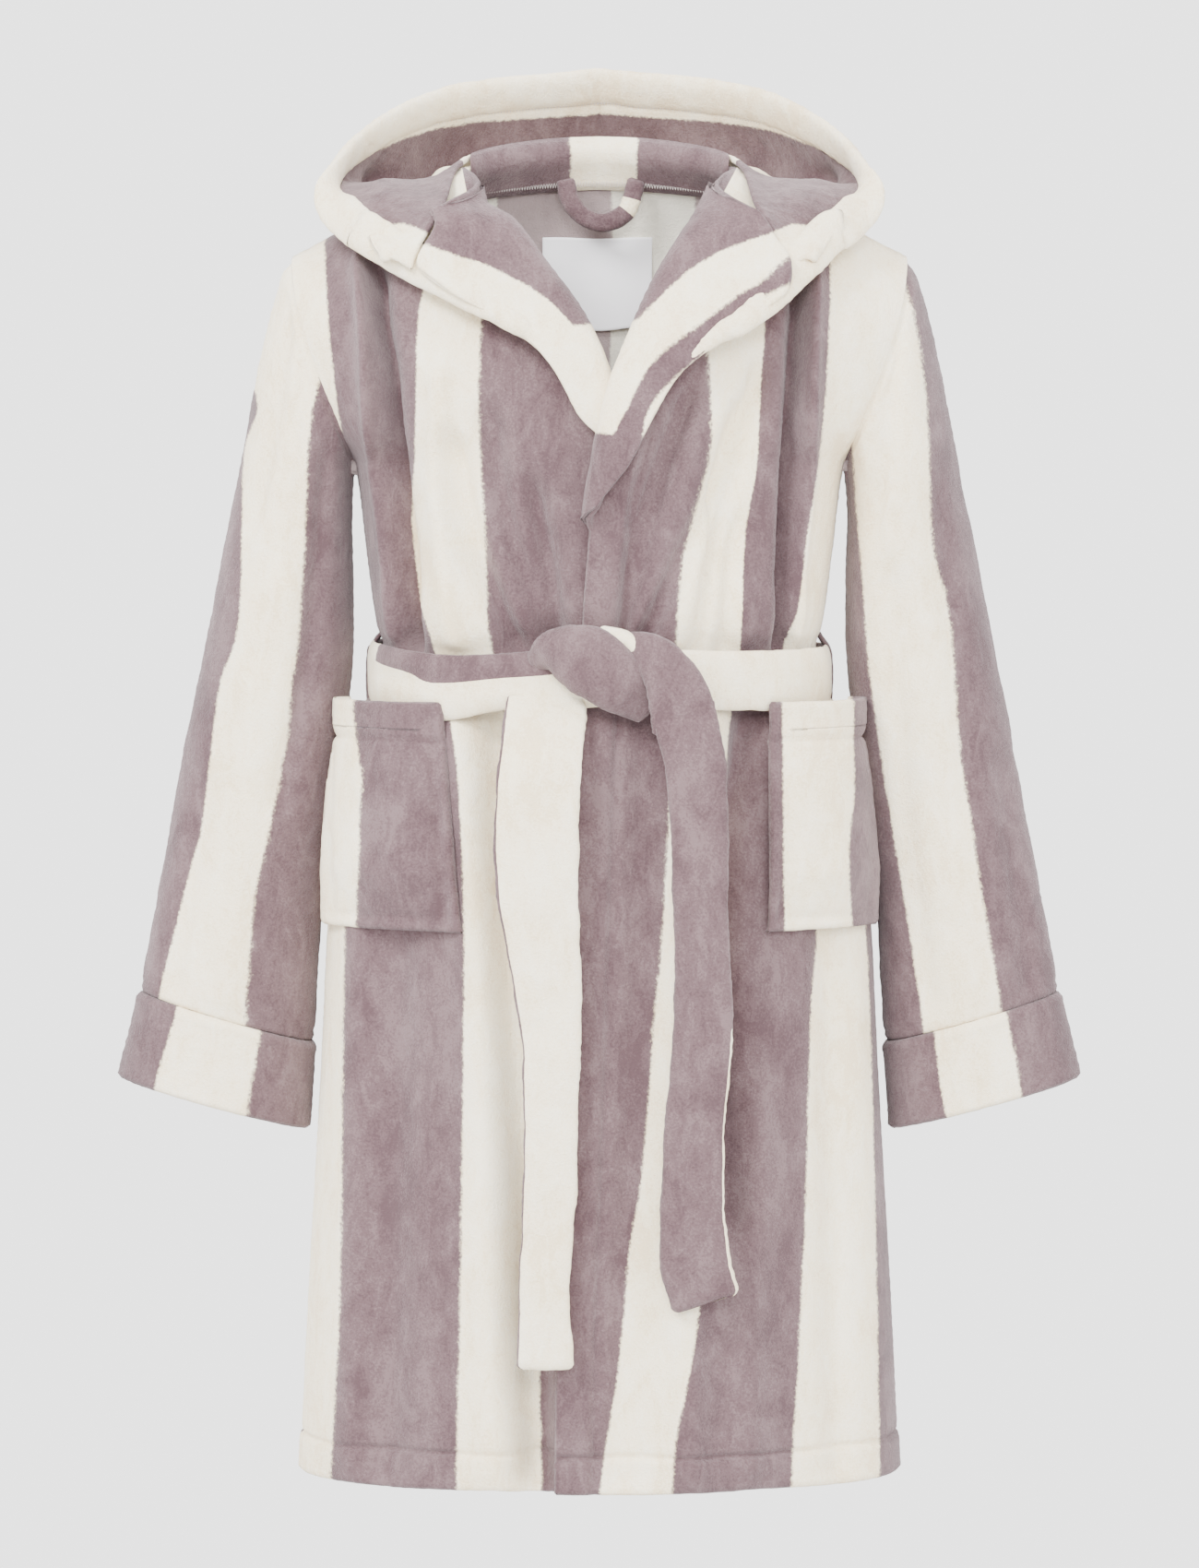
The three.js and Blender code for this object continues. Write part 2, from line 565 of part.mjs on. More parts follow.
function beltLoop(side) {
  const out = BELT_INNER.side + BELT_CLOTH + SEAM_GAP * 2;
  const [top, low] = [WAIST_Z + BELT_HEIGHT / 2 + 2, WAIST_Z - BELT_HEIGHT / 2 - 2];
  const path = [
    [halfWidth(BELT_LOOP.top) + SEAM_GAP, BELT_LOOP.top], [out, top], [out, WAIST_Z], [out, low],
    [Math.max(halfWidth(BELT_LOOP.low), halfWidth(low)) + SEAM_GAP + 2, BELT_LOOP.low],
  ];
  const rings = path.map(([x, z]) => {
    const corner = (w, t) => new THREE.Vector3(side * (x + t * BELT_LOOP.thick), w * BELT_LOOP.wide, z);
    return [corner(-0.5, 0), corner(0.5, 0), corner(0.5, 1), corner(-0.5, 1)];
  });
  return solidStack(rings);
}

// Hanging loop below the neck tape: a U of flat tube, with a level stretch at its bottom.
const LOOP_TOP_Z = NECK_POINT.z - TAPE_DROP + LOOP.overTape;
const LOOP_Y = bodyDepth(LOOP.halfTop, LOOP_TOP_Z, backDepth) - CLOTH - TAPE_CLOTH
  - SEAM_GAP * 2 - LOOP.wide / 2 - LOOP.standOff;

function hangingLoop() {
  const bottom = LOOP_TOP_Z - LOOP.drop;
  const middle = [
    [-LOOP.halfTop, LOOP_TOP_Z, 0], [-LOOP.halfTop + 3, LOOP_TOP_Z - LOOP.drop * 0.55, 0.35],
    [-LOOP.halfBottom, bottom, 1], [LOOP.halfBottom, bottom, 1],
    [LOOP.halfTop - 3, LOOP_TOP_Z - LOOP.drop * 0.55, 0.35], [LOOP.halfTop, LOOP_TOP_Z, 0],
  ];
  const rings = middle.map(([x, z], k) => {
    const before = middle[Math.max(k - 1, 0)];
    const after = middle[Math.min(k + 1, middle.length - 1)];
    const level = z === bottom;
    const run = level ? [1, 0] : [after[0] - before[0], after[1] - before[1]];
    const length = Math.hypot(...run);
    const across = [-run[1] / length, run[0] / length];
    const corner = (t, w) => new THREE.Vector3(
      LOOP.x + x + across[0] * t * LOOP.thick, w * LOOP.wide, z + across[1] * t * LOOP.thick,
    );
    return [corner(-0.5, -0.5), corner(0.5, -0.5), corner(0.5, 0.5), corner(-0.5, 0.5)];
  });
  return solidStack(rings.map((ring) => ring.map((p) => p.setY(p.y + LOOP_Y))));
}

// ---- Assembly ----

const MAUVE = new THREE.Color(0.32, 0.24, 0.26);
const CREAM = new THREE.Color(0.9, 0.86, 0.77);
const WHITE = new THREE.Color(0.8, 0.78, 0.84);

function piece(name, geometry, color) {
  const material = new THREE.MeshStandardMaterial({ color, roughness: 0.95, metalness: 0 });
  const mesh = new THREE.Mesh(geometry, material);
  mesh.name = name;
  return mesh;
}

const group = new THREE.Group();

group.add(piece('back_panel', layer(backSkin, 0, CLOTH), MAUVE));
const sides = { right: -1, left: 1 };
for (const [name, side] of Object.entries(sides)) {
  group.add(piece(`${name}_front_panel`, frontPanel(side), MAUVE));
  group.add(piece(`${name}_front_facing`, frontFacing(side), CREAM));
  group.add(piece(`${name}_sleeve`, sleeve(side), CREAM));
  group.add(piece(`${name}_cuff`, cuff(side), MAUVE));
  group.add(piece(`hood_${name}_half`, hoodHalf(side), MAUVE));
  group.add(piece(`hood_${name}_brim`, hoodBrim(side), CREAM));
  group.add(piece(`${name}_pocket`, pocket(side), MAUVE));
  group.add(piece(`${name}_belt_loop`, beltLoop(side), MAUVE));
}

group.add(piece('back_neck_tape', neckTape(), MAUVE));
group.add(piece('neck_label', neckLabel(), WHITE));
group.add(piece('hanging_loop', hangingLoop(), MAUVE));

group.add(piece('belt_waistband', waistBand(), CREAM));
const knotPiece = piece('belt_knot', knot(), MAUVE);
knotPiece.position.set(KNOT.x, KNOT_Y, KNOT.z);
group.add(knotPiece);
group.add(piece('right_belt_end', tail(RIGHT_TAIL), CREAM));
group.add(piece('left_belt_end', tail(LEFT_TAIL), MAUVE));

export default group;
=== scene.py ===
"""Striped plush hooded robe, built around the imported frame.

Side -1 is the wearer's right, at -X, and side 1 the wearer's left. The front looks to -Y and up is +Z.
"""
import math

import bpy
import numpy as np
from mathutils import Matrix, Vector


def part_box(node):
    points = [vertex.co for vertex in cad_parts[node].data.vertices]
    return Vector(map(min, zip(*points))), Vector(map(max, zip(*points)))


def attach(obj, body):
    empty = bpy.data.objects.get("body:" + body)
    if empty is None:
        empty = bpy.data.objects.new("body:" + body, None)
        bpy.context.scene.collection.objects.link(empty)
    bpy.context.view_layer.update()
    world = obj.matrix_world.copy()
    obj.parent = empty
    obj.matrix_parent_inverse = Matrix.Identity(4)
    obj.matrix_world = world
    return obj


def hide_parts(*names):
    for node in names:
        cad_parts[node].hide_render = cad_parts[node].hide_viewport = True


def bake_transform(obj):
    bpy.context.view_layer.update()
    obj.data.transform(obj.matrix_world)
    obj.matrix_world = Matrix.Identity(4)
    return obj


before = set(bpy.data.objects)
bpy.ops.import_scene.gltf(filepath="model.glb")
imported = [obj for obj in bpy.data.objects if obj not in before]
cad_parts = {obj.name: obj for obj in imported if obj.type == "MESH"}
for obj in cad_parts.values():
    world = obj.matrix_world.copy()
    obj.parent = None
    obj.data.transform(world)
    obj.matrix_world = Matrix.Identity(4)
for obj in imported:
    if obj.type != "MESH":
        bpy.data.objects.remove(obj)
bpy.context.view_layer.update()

MM = 0.001
SIDE_NAMES = {-1: "right", 1: "left"}
CLOTH = 4.0                  # thickness of the plush fleece
PILE = 0.8                   # height of the pile's unevenness
HEM_Z = -874.0
HEM_BAND = 23.0
EDGE_BAND = 22.0
SHOULDER = (208.0, -50.0)
NECK = (93.0, 10.0)
UNDERARM = (165.0, -190.0)
BELT_LOW, BELT_HIGH = -352.0, -316.0
LAP_LIFT = 11.0              # how far the left front stands off where it laps over the right one
SECTION_POWER = 2.4          # roundness of the body's cross section, 2 for an ellipse

# ---------------------------------------------------------------- camera

VIEW_HEIGHT = 1054.0         # height of the frame at the robe's front
VIEW_CENTRE = (0.0, -60.0, -404.0)
CAMERA_DISTANCE = 4500.0
CAMERA_RISE = math.radians(4.0)
SENSOR_WIDTH = 36.0


def add_camera():
    data = bpy.data.cameras.new("camera")
    data.sensor_width = SENSOR_WIDTH
    data.lens = SENSOR_WIDTH * CAMERA_DISTANCE / VIEW_HEIGHT
    camera = bpy.data.objects.new("camera", data)
    bpy.context.scene.collection.objects.link(camera)
    centre = Vector(VIEW_CENTRE) * MM
    back = Vector((0.0, -math.cos(CAMERA_RISE), math.sin(CAMERA_RISE)))
    camera.location = centre + back * CAMERA_DISTANCE * MM
    camera.rotation_euler = (math.pi / 2 - CAMERA_RISE, 0.0, 0.0)
    bpy.context.scene.camera = camera


add_camera()

# ---------------------------------------------------------------- numbers


def track(stations):
    """Smooth curve through (key, value) stations that never overshoots them. Keys fall or rise."""
    keys, values = (np.array(column, float) for column in zip(*stations))
    if keys[0] > keys[-1]:
        keys, values = keys[::-1], values[::-1]
    chord = np.diff(values) / np.diff(keys)
    slope = np.empty_like(values)
    slope[0], slope[-1] = chord[0], chord[-1]
    before, after = chord[:-1], chord[1:]
    total = np.where(before + after == 0, 1, before + after)
    slope[1:-1] = np.where(before * after <= 0, 0, 2 * before * after / total)

    def value(key):
        key = np.clip(np.asarray(key, float), keys[0], keys[-1])
        i = np.clip(np.searchsorted(keys, key, side="right") - 1, 0, len(keys) - 2)
        span = keys[i + 1] - keys[i]
        t = (key - keys[i]) / span
        a = (2 * t**3 - 3 * t**2 + 1) * values[i] + (t**3 - 2 * t**2 + t) * slope[i] * span
        return a + (3 * t**2 - 2 * t**3) * values[i + 1] + (t**3 - t**2) * slope[i + 1] * span

    return value


def smooth(t):
    t = np.clip(t, 0, 1)
    return t * t * (3 - 2 * t)


def mix(a, b, t):
    return a + (b - a) * t


def bell(distance, width):
    return np.exp(-((distance / width) ** 2))


def power_of(value, power):
    """Power that keeps the sign, for rounded sections."""
    return np.sign(value) * np.abs(value) ** power


def unit(vectors):
    return vectors / np.linalg.norm(vectors, axis=-1, keepdims=True)


class Noise:
    """Smooth seeded noise over points in space, about -1 to 1."""

    def __init__(self, seed, scale, octaves=3):
        random = np.random.default_rng(seed)
        self.waves = []
        for octave in range(octaves):
            for _ in range(7):
                direction = random.normal(size=3)
                direction *= 2 * math.pi * 2**octave / scale / np.linalg.norm(direction)
                self.waves.append((direction, random.uniform(0, 2 * math.pi), 0.62**octave))

    def __call__(self, points):
        total = sum(weight * np.sin(points @ d + phase) for d, phase, weight in self.waves)
        return total / (0.5 * sum(weight for _, _, weight in self.waves)) * 0.5


FUZZ = Noise(3, 7.5, 2)
RUMPLE = Noise(11, 95.0, 3)
MID_RUMPLE = Noise(12, 38.0, 2)

# ---------------------------------------------------------------- meshes


def grid_normals(grid, closed=False):
    if closed:
        over = np.roll(grid, -1, axis=1) - np.roll(grid, 1, axis=1)
    else:
        over = np.gradient(grid, axis=1)
    down = np.gradient(grid, axis=0)
    normal = np.cross(over, down)
    length = np.linalg.norm(normal, axis=2, keepdims=True)
    return normal / np.maximum(length, 1e-9)


def fuzzed(grid, normals, amount):
    return grid + normals * (amount * FUZZ(grid))[..., None]


def make_object(name, vertices, faces, attributes, materials, face_material=None):
    mesh = bpy.data.meshes.new(name)
    mesh.from_pydata((vertices * MM).tolist(), [], [[int(corner) for corner in face] for face in faces])
    for key, values in attributes.items():
        layer = mesh.attributes.new(key, "FLOAT", "POINT")
        layer.data.foreach_set("value", np.asarray(values, np.float32))
    for material in materials:
        mesh.materials.append(material)
    if face_material is not None:
        mesh.polygons.foreach_set("material_index", np.asarray(face_material, np.int32))
    mesh.polygons.foreach_set("use_smooth", np.ones(len(mesh.polygons), bool))
    mesh.update()
    piece = bpy.data.objects.new(name, mesh)
    bpy.context.scene.collection.objects.link(piece)
    return piece


def turned(face, turn):
    return tuple(reversed(face)) if turn else tuple(face)


def strip_faces(a, b, turn):
    """Quads between two equally long lists of vertex numbers."""
    return [turned(quad, turn) for quad in zip(a[:-1], a[1:], b[1:], b[:-1])]


def cloth(name, grid, stripe, outward=1, thickness=CLOTH, near=0.0, closed=False, fuzz=PILE, materials=None):
    """Shell of cloth between a grid's outer face and the same grid moved inwards, with round edges.

    The grid's rows run down the cloth and its columns across it; closed joins the last column to the first.
    outward is 1 or -1, whichever makes the grid's normals point out of the garment. near is how far the
    outer face lies below the grid. stripe holds the stripe coordinate at each grid point.
    """
    normals = grid_normals(grid, closed) * outward
    outer = fuzzed(grid - normals * near, normals, fuzz)
    inner = fuzzed(grid - normals * (near + thickness), normals, -fuzz)
    rows, cols = grid.shape[:2]
    count = rows * cols
    index = np.arange(count).reshape(rows, cols)
    if closed:
        index = np.hstack([index, index[:, :1]])
    flip = outward > 0
    vertices = [outer.reshape(-1, 3), inner.reshape(-1, 3)]
    values = [stripe.ravel(), stripe.ravel()]
    inside = [np.zeros(count), np.ones(count)]
    faces = []
    for start, turn in ((0, not flip), (count, flip)):
        for i in range(rows - 1):
            faces += strip_faces(index[i] + start, index[i + 1] + start, turn)
    face_count = len(faces) // 2

    def rim(line, step, turn):
        """Round edge along a border line of the grid; step points off the cloth. Returns its middle line."""
        off = step / np.maximum(np.linalg.norm(step, axis=1, keepdims=True), 1e-9)
        outer_line, inner_line = vertices[0][line], vertices[1][line]
        bulge = 0.42 * np.linalg.norm(outer_line - inner_line, axis=1, keepdims=True)
        middle = np.arange(len(line)) + sum(len(part) for part in vertices)
        vertices.append((outer_line + inner_line) / 2 + off * bulge)
        values.append(stripe.ravel()[line])
        inside.append(np.zeros(len(line)))
        faces.extend(strip_faces(line, middle, turn) + strip_faces(middle, line + count, turn))
        return middle

    down = np.gradient(grid, axis=0)
    around = np.arange(index.shape[1]) % cols
    top = rim(index[0], -down[0][around], flip)
    bottom = rim(index[-1], down[-1][around], not flip)
    if not closed:
        over = np.gradient(grid, axis=1)
        first = rim(index[:, 0], -over[:, 0], not flip)
        last = rim(index[:, -1], over[:, -1], flip)
        for corner, side_middle, end_middle, turn in (
            (index[0, 0], first[0], top[0], flip),
            (index[0, -1], last[0], top[-1], not flip),
            (index[-1, 0], first[-1], bottom[0], not flip),
            (index[-1, -1], last[-1], bottom[-1], flip),
        ):
            faces.append(turned((corner, side_middle, corner + count, end_middle), turn))
    face_material = np.zeros(len(faces))
    face_material[face_count:2 * face_count] = 1
    attributes = {"stripe": np.concatenate(values), "inside": np.concatenate(inside)}
    return make_object(name, np.vstack(vertices), faces, attributes, materials or PLUSH_PAIR, face_material)


def outward_normals(rings):
    """Normals of a closed tube of rings, and whether the grid's own normals point inwards."""
    normals = grid_normals(rings, True)
    sign = np.sign(((rings - rings.mean(axis=1, keepdims=True)) * normals).sum())
    return normals * sign, sign < 0


def tube(name, path, width, thick, side, stripe_of, around=20, power=2.6, lumps=0.0):
    """Flattened tube along a path, with round ends.

    side is the direction of its width; width and thick are full sizes along the path. stripe_of(angle, along)
    gives the stripe coordinate, with angle around the tube and along from 0 to 1.
    """
    count = len(path)
    width, thick = np.broadcast_to(width, count), np.broadcast_to(thick, count)
    tangent = unit(np.gradient(path, axis=0))
    side = np.broadcast_to(side, (count, 3))
    side = unit(side - tangent * (side * tangent).sum(1, keepdims=True))
    face = np.cross(tangent, side)
    angle = np.arange(around) / around * 2 * math.pi
    across = power_of(np.cos(angle), 2 / power)[:, None]
    through = power_of(np.sin(angle), 2 / power)[:, None]
    along = np.linspace(0, 1, count)
    # Each ring: its place on the path, its share of the full section, and its shift along the path in
    # thicknesses.
    stations = [(0, 0.35, -0.30), (0, 0.75, -0.20), *((i, 1.0, 0.0) for i in range(count)),
                (count - 1, 0.75, 0.20), (count - 1, 0.35, 0.30)]
    rings, values = [], []
    for i, share, shift in stations:
        half_wide = width[i] / 2 * mix(1.0, share, min(1.0, thick[i] / width[i]))
        half_thick = thick[i] / 2 * share
        centre = path[i] + tangent[i] * (shift * thick[i])
        rings.append(centre + side[i] * across * half_wide + face[i] * through * half_thick)
        values.append(stripe_of(angle, np.full(around, along[i])))
    grid = np.array(rings)
    normals, turn = outward_normals(grid)
    grid = grid + normals * (PILE * FUZZ(grid) + lumps * MID_RUMPLE(grid))[..., None]
    index = np.arange(len(rings) * around).reshape(-1, around)
    wrapped = np.hstack([index, index[:, :1]])
    faces = [quad for a, b in zip(wrapped[:-1], wrapped[1:]) for quad in strip_faces(a, b, turn)]
    faces += [turned(index[0], turn), turned(index[-1], not turn)]
    attributes = {"stripe": np.ravel(values), "inside": np.zeros(index.size)}
    return make_object(name, grid.reshape(-1, 3), faces, attributes, [PLUSH])


def plain(value):
    """A tube's stripe coordinate where it has one colour."""
    return lambda angle, along: np.full(angle.shape, value)


def catmull(points, count):
    """Even samples of a smooth curve through points."""
    points = np.asarray(points, float)
    steps = np.linalg.norm(np.diff(points, axis=0), axis=1)
    keys = np.concatenate([[0], np.cumsum(steps)])
    padded = np.vstack([2 * points[0] - points[1], points, 2 * points[-1] - points[-2]])
    out = []
    for t in np.linspace(0, keys[-1], count):
        i = int(np.clip(np.searchsorted(keys, t, side="right") - 1, 0, len(points) - 2))
        u = (t - keys[i]) / (keys[i + 1] - keys[i])
        p0, p1, p2, p3 = padded[i:i + 4]
        out.append(0.5 * (2 * p1 + (p2 - p0) * u + (2 * p0 - 5 * p1 + 4 * p2 - p3) * u**2
                          + (3 * p1 - p0 - 3 * p2 + p3) * u**3))
    return np.array(out)


def finish_piece(piece, node, body):
    """Hide a piece's node and tie the piece to its body; a piece given two bodies to blend between is only baked
    where it stands.
    """
    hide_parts(node)
    if isinstance(body, str):
        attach(piece, body)
    else:
        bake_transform(piece)


# ---------------------------------------------------------------- materials

# Stripe coordinates in the middle of a mauve and of a cream stripe, for pieces of one colour.
IN_MAUVE, IN_CREAM = 0.5, 1.5
MAUVE_DEEP = (0.088, 0.052, 0.058, 1)
MAUVE = (0.122, 0.077, 0.083, 1)
MAUVE_LIGHT = (0.164, 0.111, 0.116, 1)
CREAM_SHADE = (0.820, 0.680, 0.460, 1)
CREAM = (0.910, 0.800, 0.590, 1)
CREAM_LIGHT = (0.940, 0.860, 0.680, 1)
INSIDE_MAUVE = (0.385, 0.305, 0.302, 1)
INSIDE_CREAM = (0.850, 0.810, 0.700, 1)
LABEL_WHITE = (0.975, 0.965, 1.0, 1)
THREAD_COLOR = (0.820, 0.740, 0.690, 1)


class Nodes:
    """Small helper that adds shader nodes and links them."""

    def __init__(self, material):
        material.use_nodes = True
        self.tree = material.node_tree
        self.tree.nodes.clear()

    def put(self, socket, value):
        if isinstance(value, bpy.types.NodeSocket):
            self.tree.links.new(value, socket)
        else:
            socket.default_value = value

    def add(self, kind, inputs=None, **settings):
        node = self.tree.nodes.new(kind)
        for key, value in settings.items():
            setattr(node, key, value)
        for key, value in (inputs or {}).items():
            self.put(node.inputs[key], value)
        return node

    def math(self, operation, a, b=0.0):
        node = self.add("ShaderNodeMath", operation=operation)
        self.put(node.inputs[0], a)
        self.put(node.inputs[1], b)
        return node.outputs[0]

    def about_zero(self, noise, height):
        """A noise moved to lie about zero, times a height."""
        return self.math("MULTIPLY", self.math("SUBTRACT", noise, 0.5), height)

    def blend(self, factor, a, b):
        node = self.add("ShaderNodeMix", data_type="RGBA")
        for name, value in (("Factor", factor), ("A", a), ("B", b)):
            self.put([socket for socket in node.inputs if socket.name == name and socket.enabled][0], value)
        return [socket for socket in node.outputs if socket.enabled][0]

    def bump(self, height, strength, distance):
        inputs = {"Height": height, "Strength": strength, "Distance": distance}
        return self.add("ShaderNodeBump", inputs).outputs[0]

    def finish(self, inputs):
        shader = self.add("ShaderNodeBsdfPrincipled", inputs)
        self.add("ShaderNodeOutputMaterial", {"Surface": shader.outputs[0]})

    def noise(self, coordinates, scale, detail=3.0, roughness=0.55, distortion=0.0):
        inputs = {"Vector": coordinates, "Scale": scale, "Detail": detail,
                  "Roughness": roughness, "Distortion": distortion}
        return self.add("ShaderNodeTexNoise", inputs).outputs["Fac"]

    def ramp(self, factor, low, high):
        """0 below low, 1 above high, smooth between."""
        node = self.add("ShaderNodeMapRange", {"Value": factor, "From Min": low, "From Max": high},
                        interpolation_type="SMOOTHERSTEP")
        return node.outputs["Result"]


def darker(color, share):
    return tuple(share * part for part in color[:3]) + (1,)


def plush(name, inside):
    """Brushed plush fleece with two-colour stripes. The stripe coordinate comes with the mesh."""
    material = bpy.data.materials.new(name)
    n = Nodes(material)
    place = n.add("ShaderNodeTexCoord").outputs["Object"]
    drawn_down = n.add("ShaderNodeMapping", {"Vector": place, "Scale": (1.0, 1.0, 0.5)}).outputs[0]
    stripe = n.add("ShaderNodeAttribute", attribute_name="stripe").outputs["Fac"]
    wave = n.math("SINE", n.math("MULTIPLY", stripe, math.pi))
    ragged = n.about_zero(n.noise(place, 420.0, 3.0, 0.7), 0.22)
    wander = n.about_zero(n.noise(place, 60.0, 2.0, 0.5), 0.10)
    is_mauve = n.ramp(n.math("ADD", wave, n.math("ADD", ragged, wander)), -0.075, 0.075)

    patches = n.noise(drawn_down, 22.0, 4.0, 0.55, 0.6)
    smear = n.noise(drawn_down, 75.0, 4.0, 0.65, 0.9)
    grain = n.noise(place, 620.0, 3.0, 0.7)
    tuft = n.noise(place, 1500.0, 2.0, 0.6)
    brushed = n.math("ADD", n.about_zero(patches, 1.1), n.about_zero(smear, 1.1))
    brushed = n.math("ADD", brushed, n.about_zero(grain, 1.1))
    tone = n.ramp(n.math("ADD", brushed, 0.5), 0.0, 1.0)

    if inside:
        mauve = n.blend(tone, darker(INSIDE_MAUVE, 0.88), INSIDE_MAUVE)
        cream = n.blend(tone, darker(INSIDE_CREAM, 0.94), INSIDE_CREAM)
    else:
        low = n.blend(n.ramp(tone, 0.0, 0.55), MAUVE_DEEP, MAUVE)
        mauve = n.blend(n.ramp(tone, 0.5, 1.0), low, MAUVE_LIGHT)
        pale = n.blend(n.ramp(tone, 0.0, 0.5), CREAM_SHADE, CREAM)
        cream = n.blend(n.ramp(tone, 0.5, 1.0), pale, CREAM_LIGHT)

    height = n.math("ADD", n.math("MULTIPLY", grain, 0.6), n.math("MULTIPLY", tuft, 0.4))
    height = n.math("ADD", height, n.math("MULTIPLY", smear, 0.7))
    n.finish({
        "Base Color": n.blend(is_mauve, cream, mauve),
        "Roughness": n.math("ADD", n.math("MULTIPLY", tone, -0.10), 0.92),
        "Normal": n.bump(height, 0.75, 0.0022), "Specular IOR Level": 0.15,
        "Sheen Weight": 0.15 if inside else 0.28, "Sheen Roughness": 0.42, "Sheen Tint": (1.0, 0.93, 0.93, 1.0),
    })
    return material


def woven_label():
    """Smooth woven satin, with fine ribs along its length."""
    material = bpy.data.materials.new("woven_label")
    n = Nodes(material)
    place = n.add("ShaderNodeTexCoord").outputs["Object"]
    ribs = n.add("ShaderNodeTexWave", {"Vector": place, "Scale": 420.0, "Distortion": 0.4}, bands_direction="Z")
    n.finish({
        "Base Color": n.blend(n.noise(place, 45.0, 2.0), darker(LABEL_WHITE, 0.93), LABEL_WHITE),
        "Roughness": 0.5, "Normal": n.bump(ribs.outputs["Fac"], 0.15, 0.0002),
        "Specular IOR Level": 0.35, "Sheen Weight": 0.1, "Sheen Roughness": 0.4,
    })
    return material


def thread():
    """Fuzzy polyester sewing thread."""
    material = bpy.data.materials.new("sewing_thread")
    n = Nodes(material)
    place = n.add("ShaderNodeTexCoord").outputs["Object"]
    n.finish({
        "Base Color": n.blend(n.noise(place, 900.0, 2.0), darker(THREAD_COLOR, 0.7), THREAD_COLOR),
        "Roughness": 0.7, "Sheen Weight": 0.2, "Sheen Roughness": 0.5,
    })
    return material


PLUSH = plush("striped_plush", inside=False)
PLUSH_INSIDE = plush("striped_plush_wrong_side", inside=True)
PLUSH_PAIR = [PLUSH, PLUSH_INSIDE]
LABEL = woven_label()
THREAD = thread()

# ---------------------------------------------------------------- stripes


def stripes_by_x(borders, start):
    """Stripe coordinate from borders that are tracks of x by height. Border k is the integer start + k.
    The cloth is mauve between an even integer and the next odd one, and cream between an odd and an even one."""
    tracks = [track(border) for border in borders]
    outer_width = 60.0

    def value(x, z):
        edges = [place(z) for place in tracks]
        result = start + (x - edges[0]) / outer_width
        for k, left in enumerate(edges):
            right = edges[k + 1] if k + 1 < len(edges) else left + outer_width
            result = np.where(x >= left, start + k + (x - left) / np.maximum(right - left, 1.0), result)
        return result

    return value


# Stripe borders of the right front as (height, x), from the side to the front edge.
RIGHT_FRONT_STRIPES = stripes_by_x([
    [(-30, -186), (-77, -183), (-122, -179), (-170, -173), (-250, -164), (-330, -156), (-400, -168),
     (-500, -172), (-740, -175), (-874, -182)],
    [(-70, -117), (-95, -121), (-177, -123), (-221, -126), (-276, -121), (-312, -111), (-350, -101),
     (-400, -94), (-500, -90), (-740, -93), (-874, -96)],
    [(-89, -79), (-138, -81), (-237, -77), (-296, -75), (-345, -66), (-450, -57), (-617, -45), (-874, -39)],
    [(-89, 34), (-874, 34)],
], 0)
# The left front's, from the front edge to the side.
LEFT_FRONT_STRIPES = stripes_by_x([
    [(-50, -60), (-874, -60)],
    [(-100, 72), (-170, 75), (-217, 65), (-257, 55), (-306, 52), (-400, 48), (-469, 44), (-503, 42),
     (-555, 37), (-610, 33), (-665, 28), (-713, 20), (-760, 16), (-796, 12), (-846, 4), (-874, 0)],
    [(-99, 110), (-142, 107), (-187, 105), (-237, 97), (-316, 94), (-360, 87), (-420, 83), (-520, 78),
     (-650, 73), (-745, 67), (-792, 60), (-846, 50), (-874, 48)],
    [(-79, 154), (-138, 151), (-185, 147), (-237, 139), (-286, 133), (-314, 123), (-360, 130), (-420, 142),
     (-504, 146), (-555, 142), (-665, 139), (-760, 135), (-874, 129)],
    [(-50, 230), (-200, 204), (-330, 178), (-450, 178), (-555, 183), (-700, 187), (-874, 190)],
], 0)
MAUVE_WIDTH = 80.0
CREAM_WIDTH = 57.0


def patch(inside):
    """Stripe coordinate of a mauve patch on cream, from the distance inside its border."""
    return 1 - np.clip(inside / 60.0, -0.5, 0.5)


def repeat_stripes(distance):
    """Stripe coordinate of the cloth at a distance across it, at the fabric's own pitch."""
    pitch = MAUVE_WIDTH + CREAM_WIDTH
    turns = np.floor(distance / pitch)
    part = distance - turns * pitch
    within = np.where(part < MAUVE_WIDTH, part / MAUVE_WIDTH, 1 + (part - MAUVE_WIDTH) / CREAM_WIDTH)
    return 2 * turns + within


# ---------------------------------------------------------------- the body's shape

half_width = track([
    (20, 238), (-50, 236), (-120, 214), (-163, 190), (-190, 166), (-250, 158), (-300, 151), (-312, 147),
    (-340, 147), (-352, 160), (-372, 172), (-430, 179), (-500, 185), (-600, 190), (-772, 200), (-874, 205),
])
front_depth = track([
    (20, 62), (-60, 78), (-120, 92), (-190, 99), (-260, 97), (-300, 92), (-314, 88), (-350, 88), (-372, 95),
    (-430, 101), (-500, 104), (-700, 110), (-874, 112),
])
back_depth = track([
    (20, 66), (-60, 85), (-120, 98), (-190, 104), (-260, 101), (-300, 95), (-314, 92), (-350, 92), (-372, 99),
    (-430, 104), (-500, 107), (-700, 111), (-874, 112),
])
armhole_x = track([(-50, 208), (-75, 205), (-120, 192), (-163, 175), (-190, 165)])
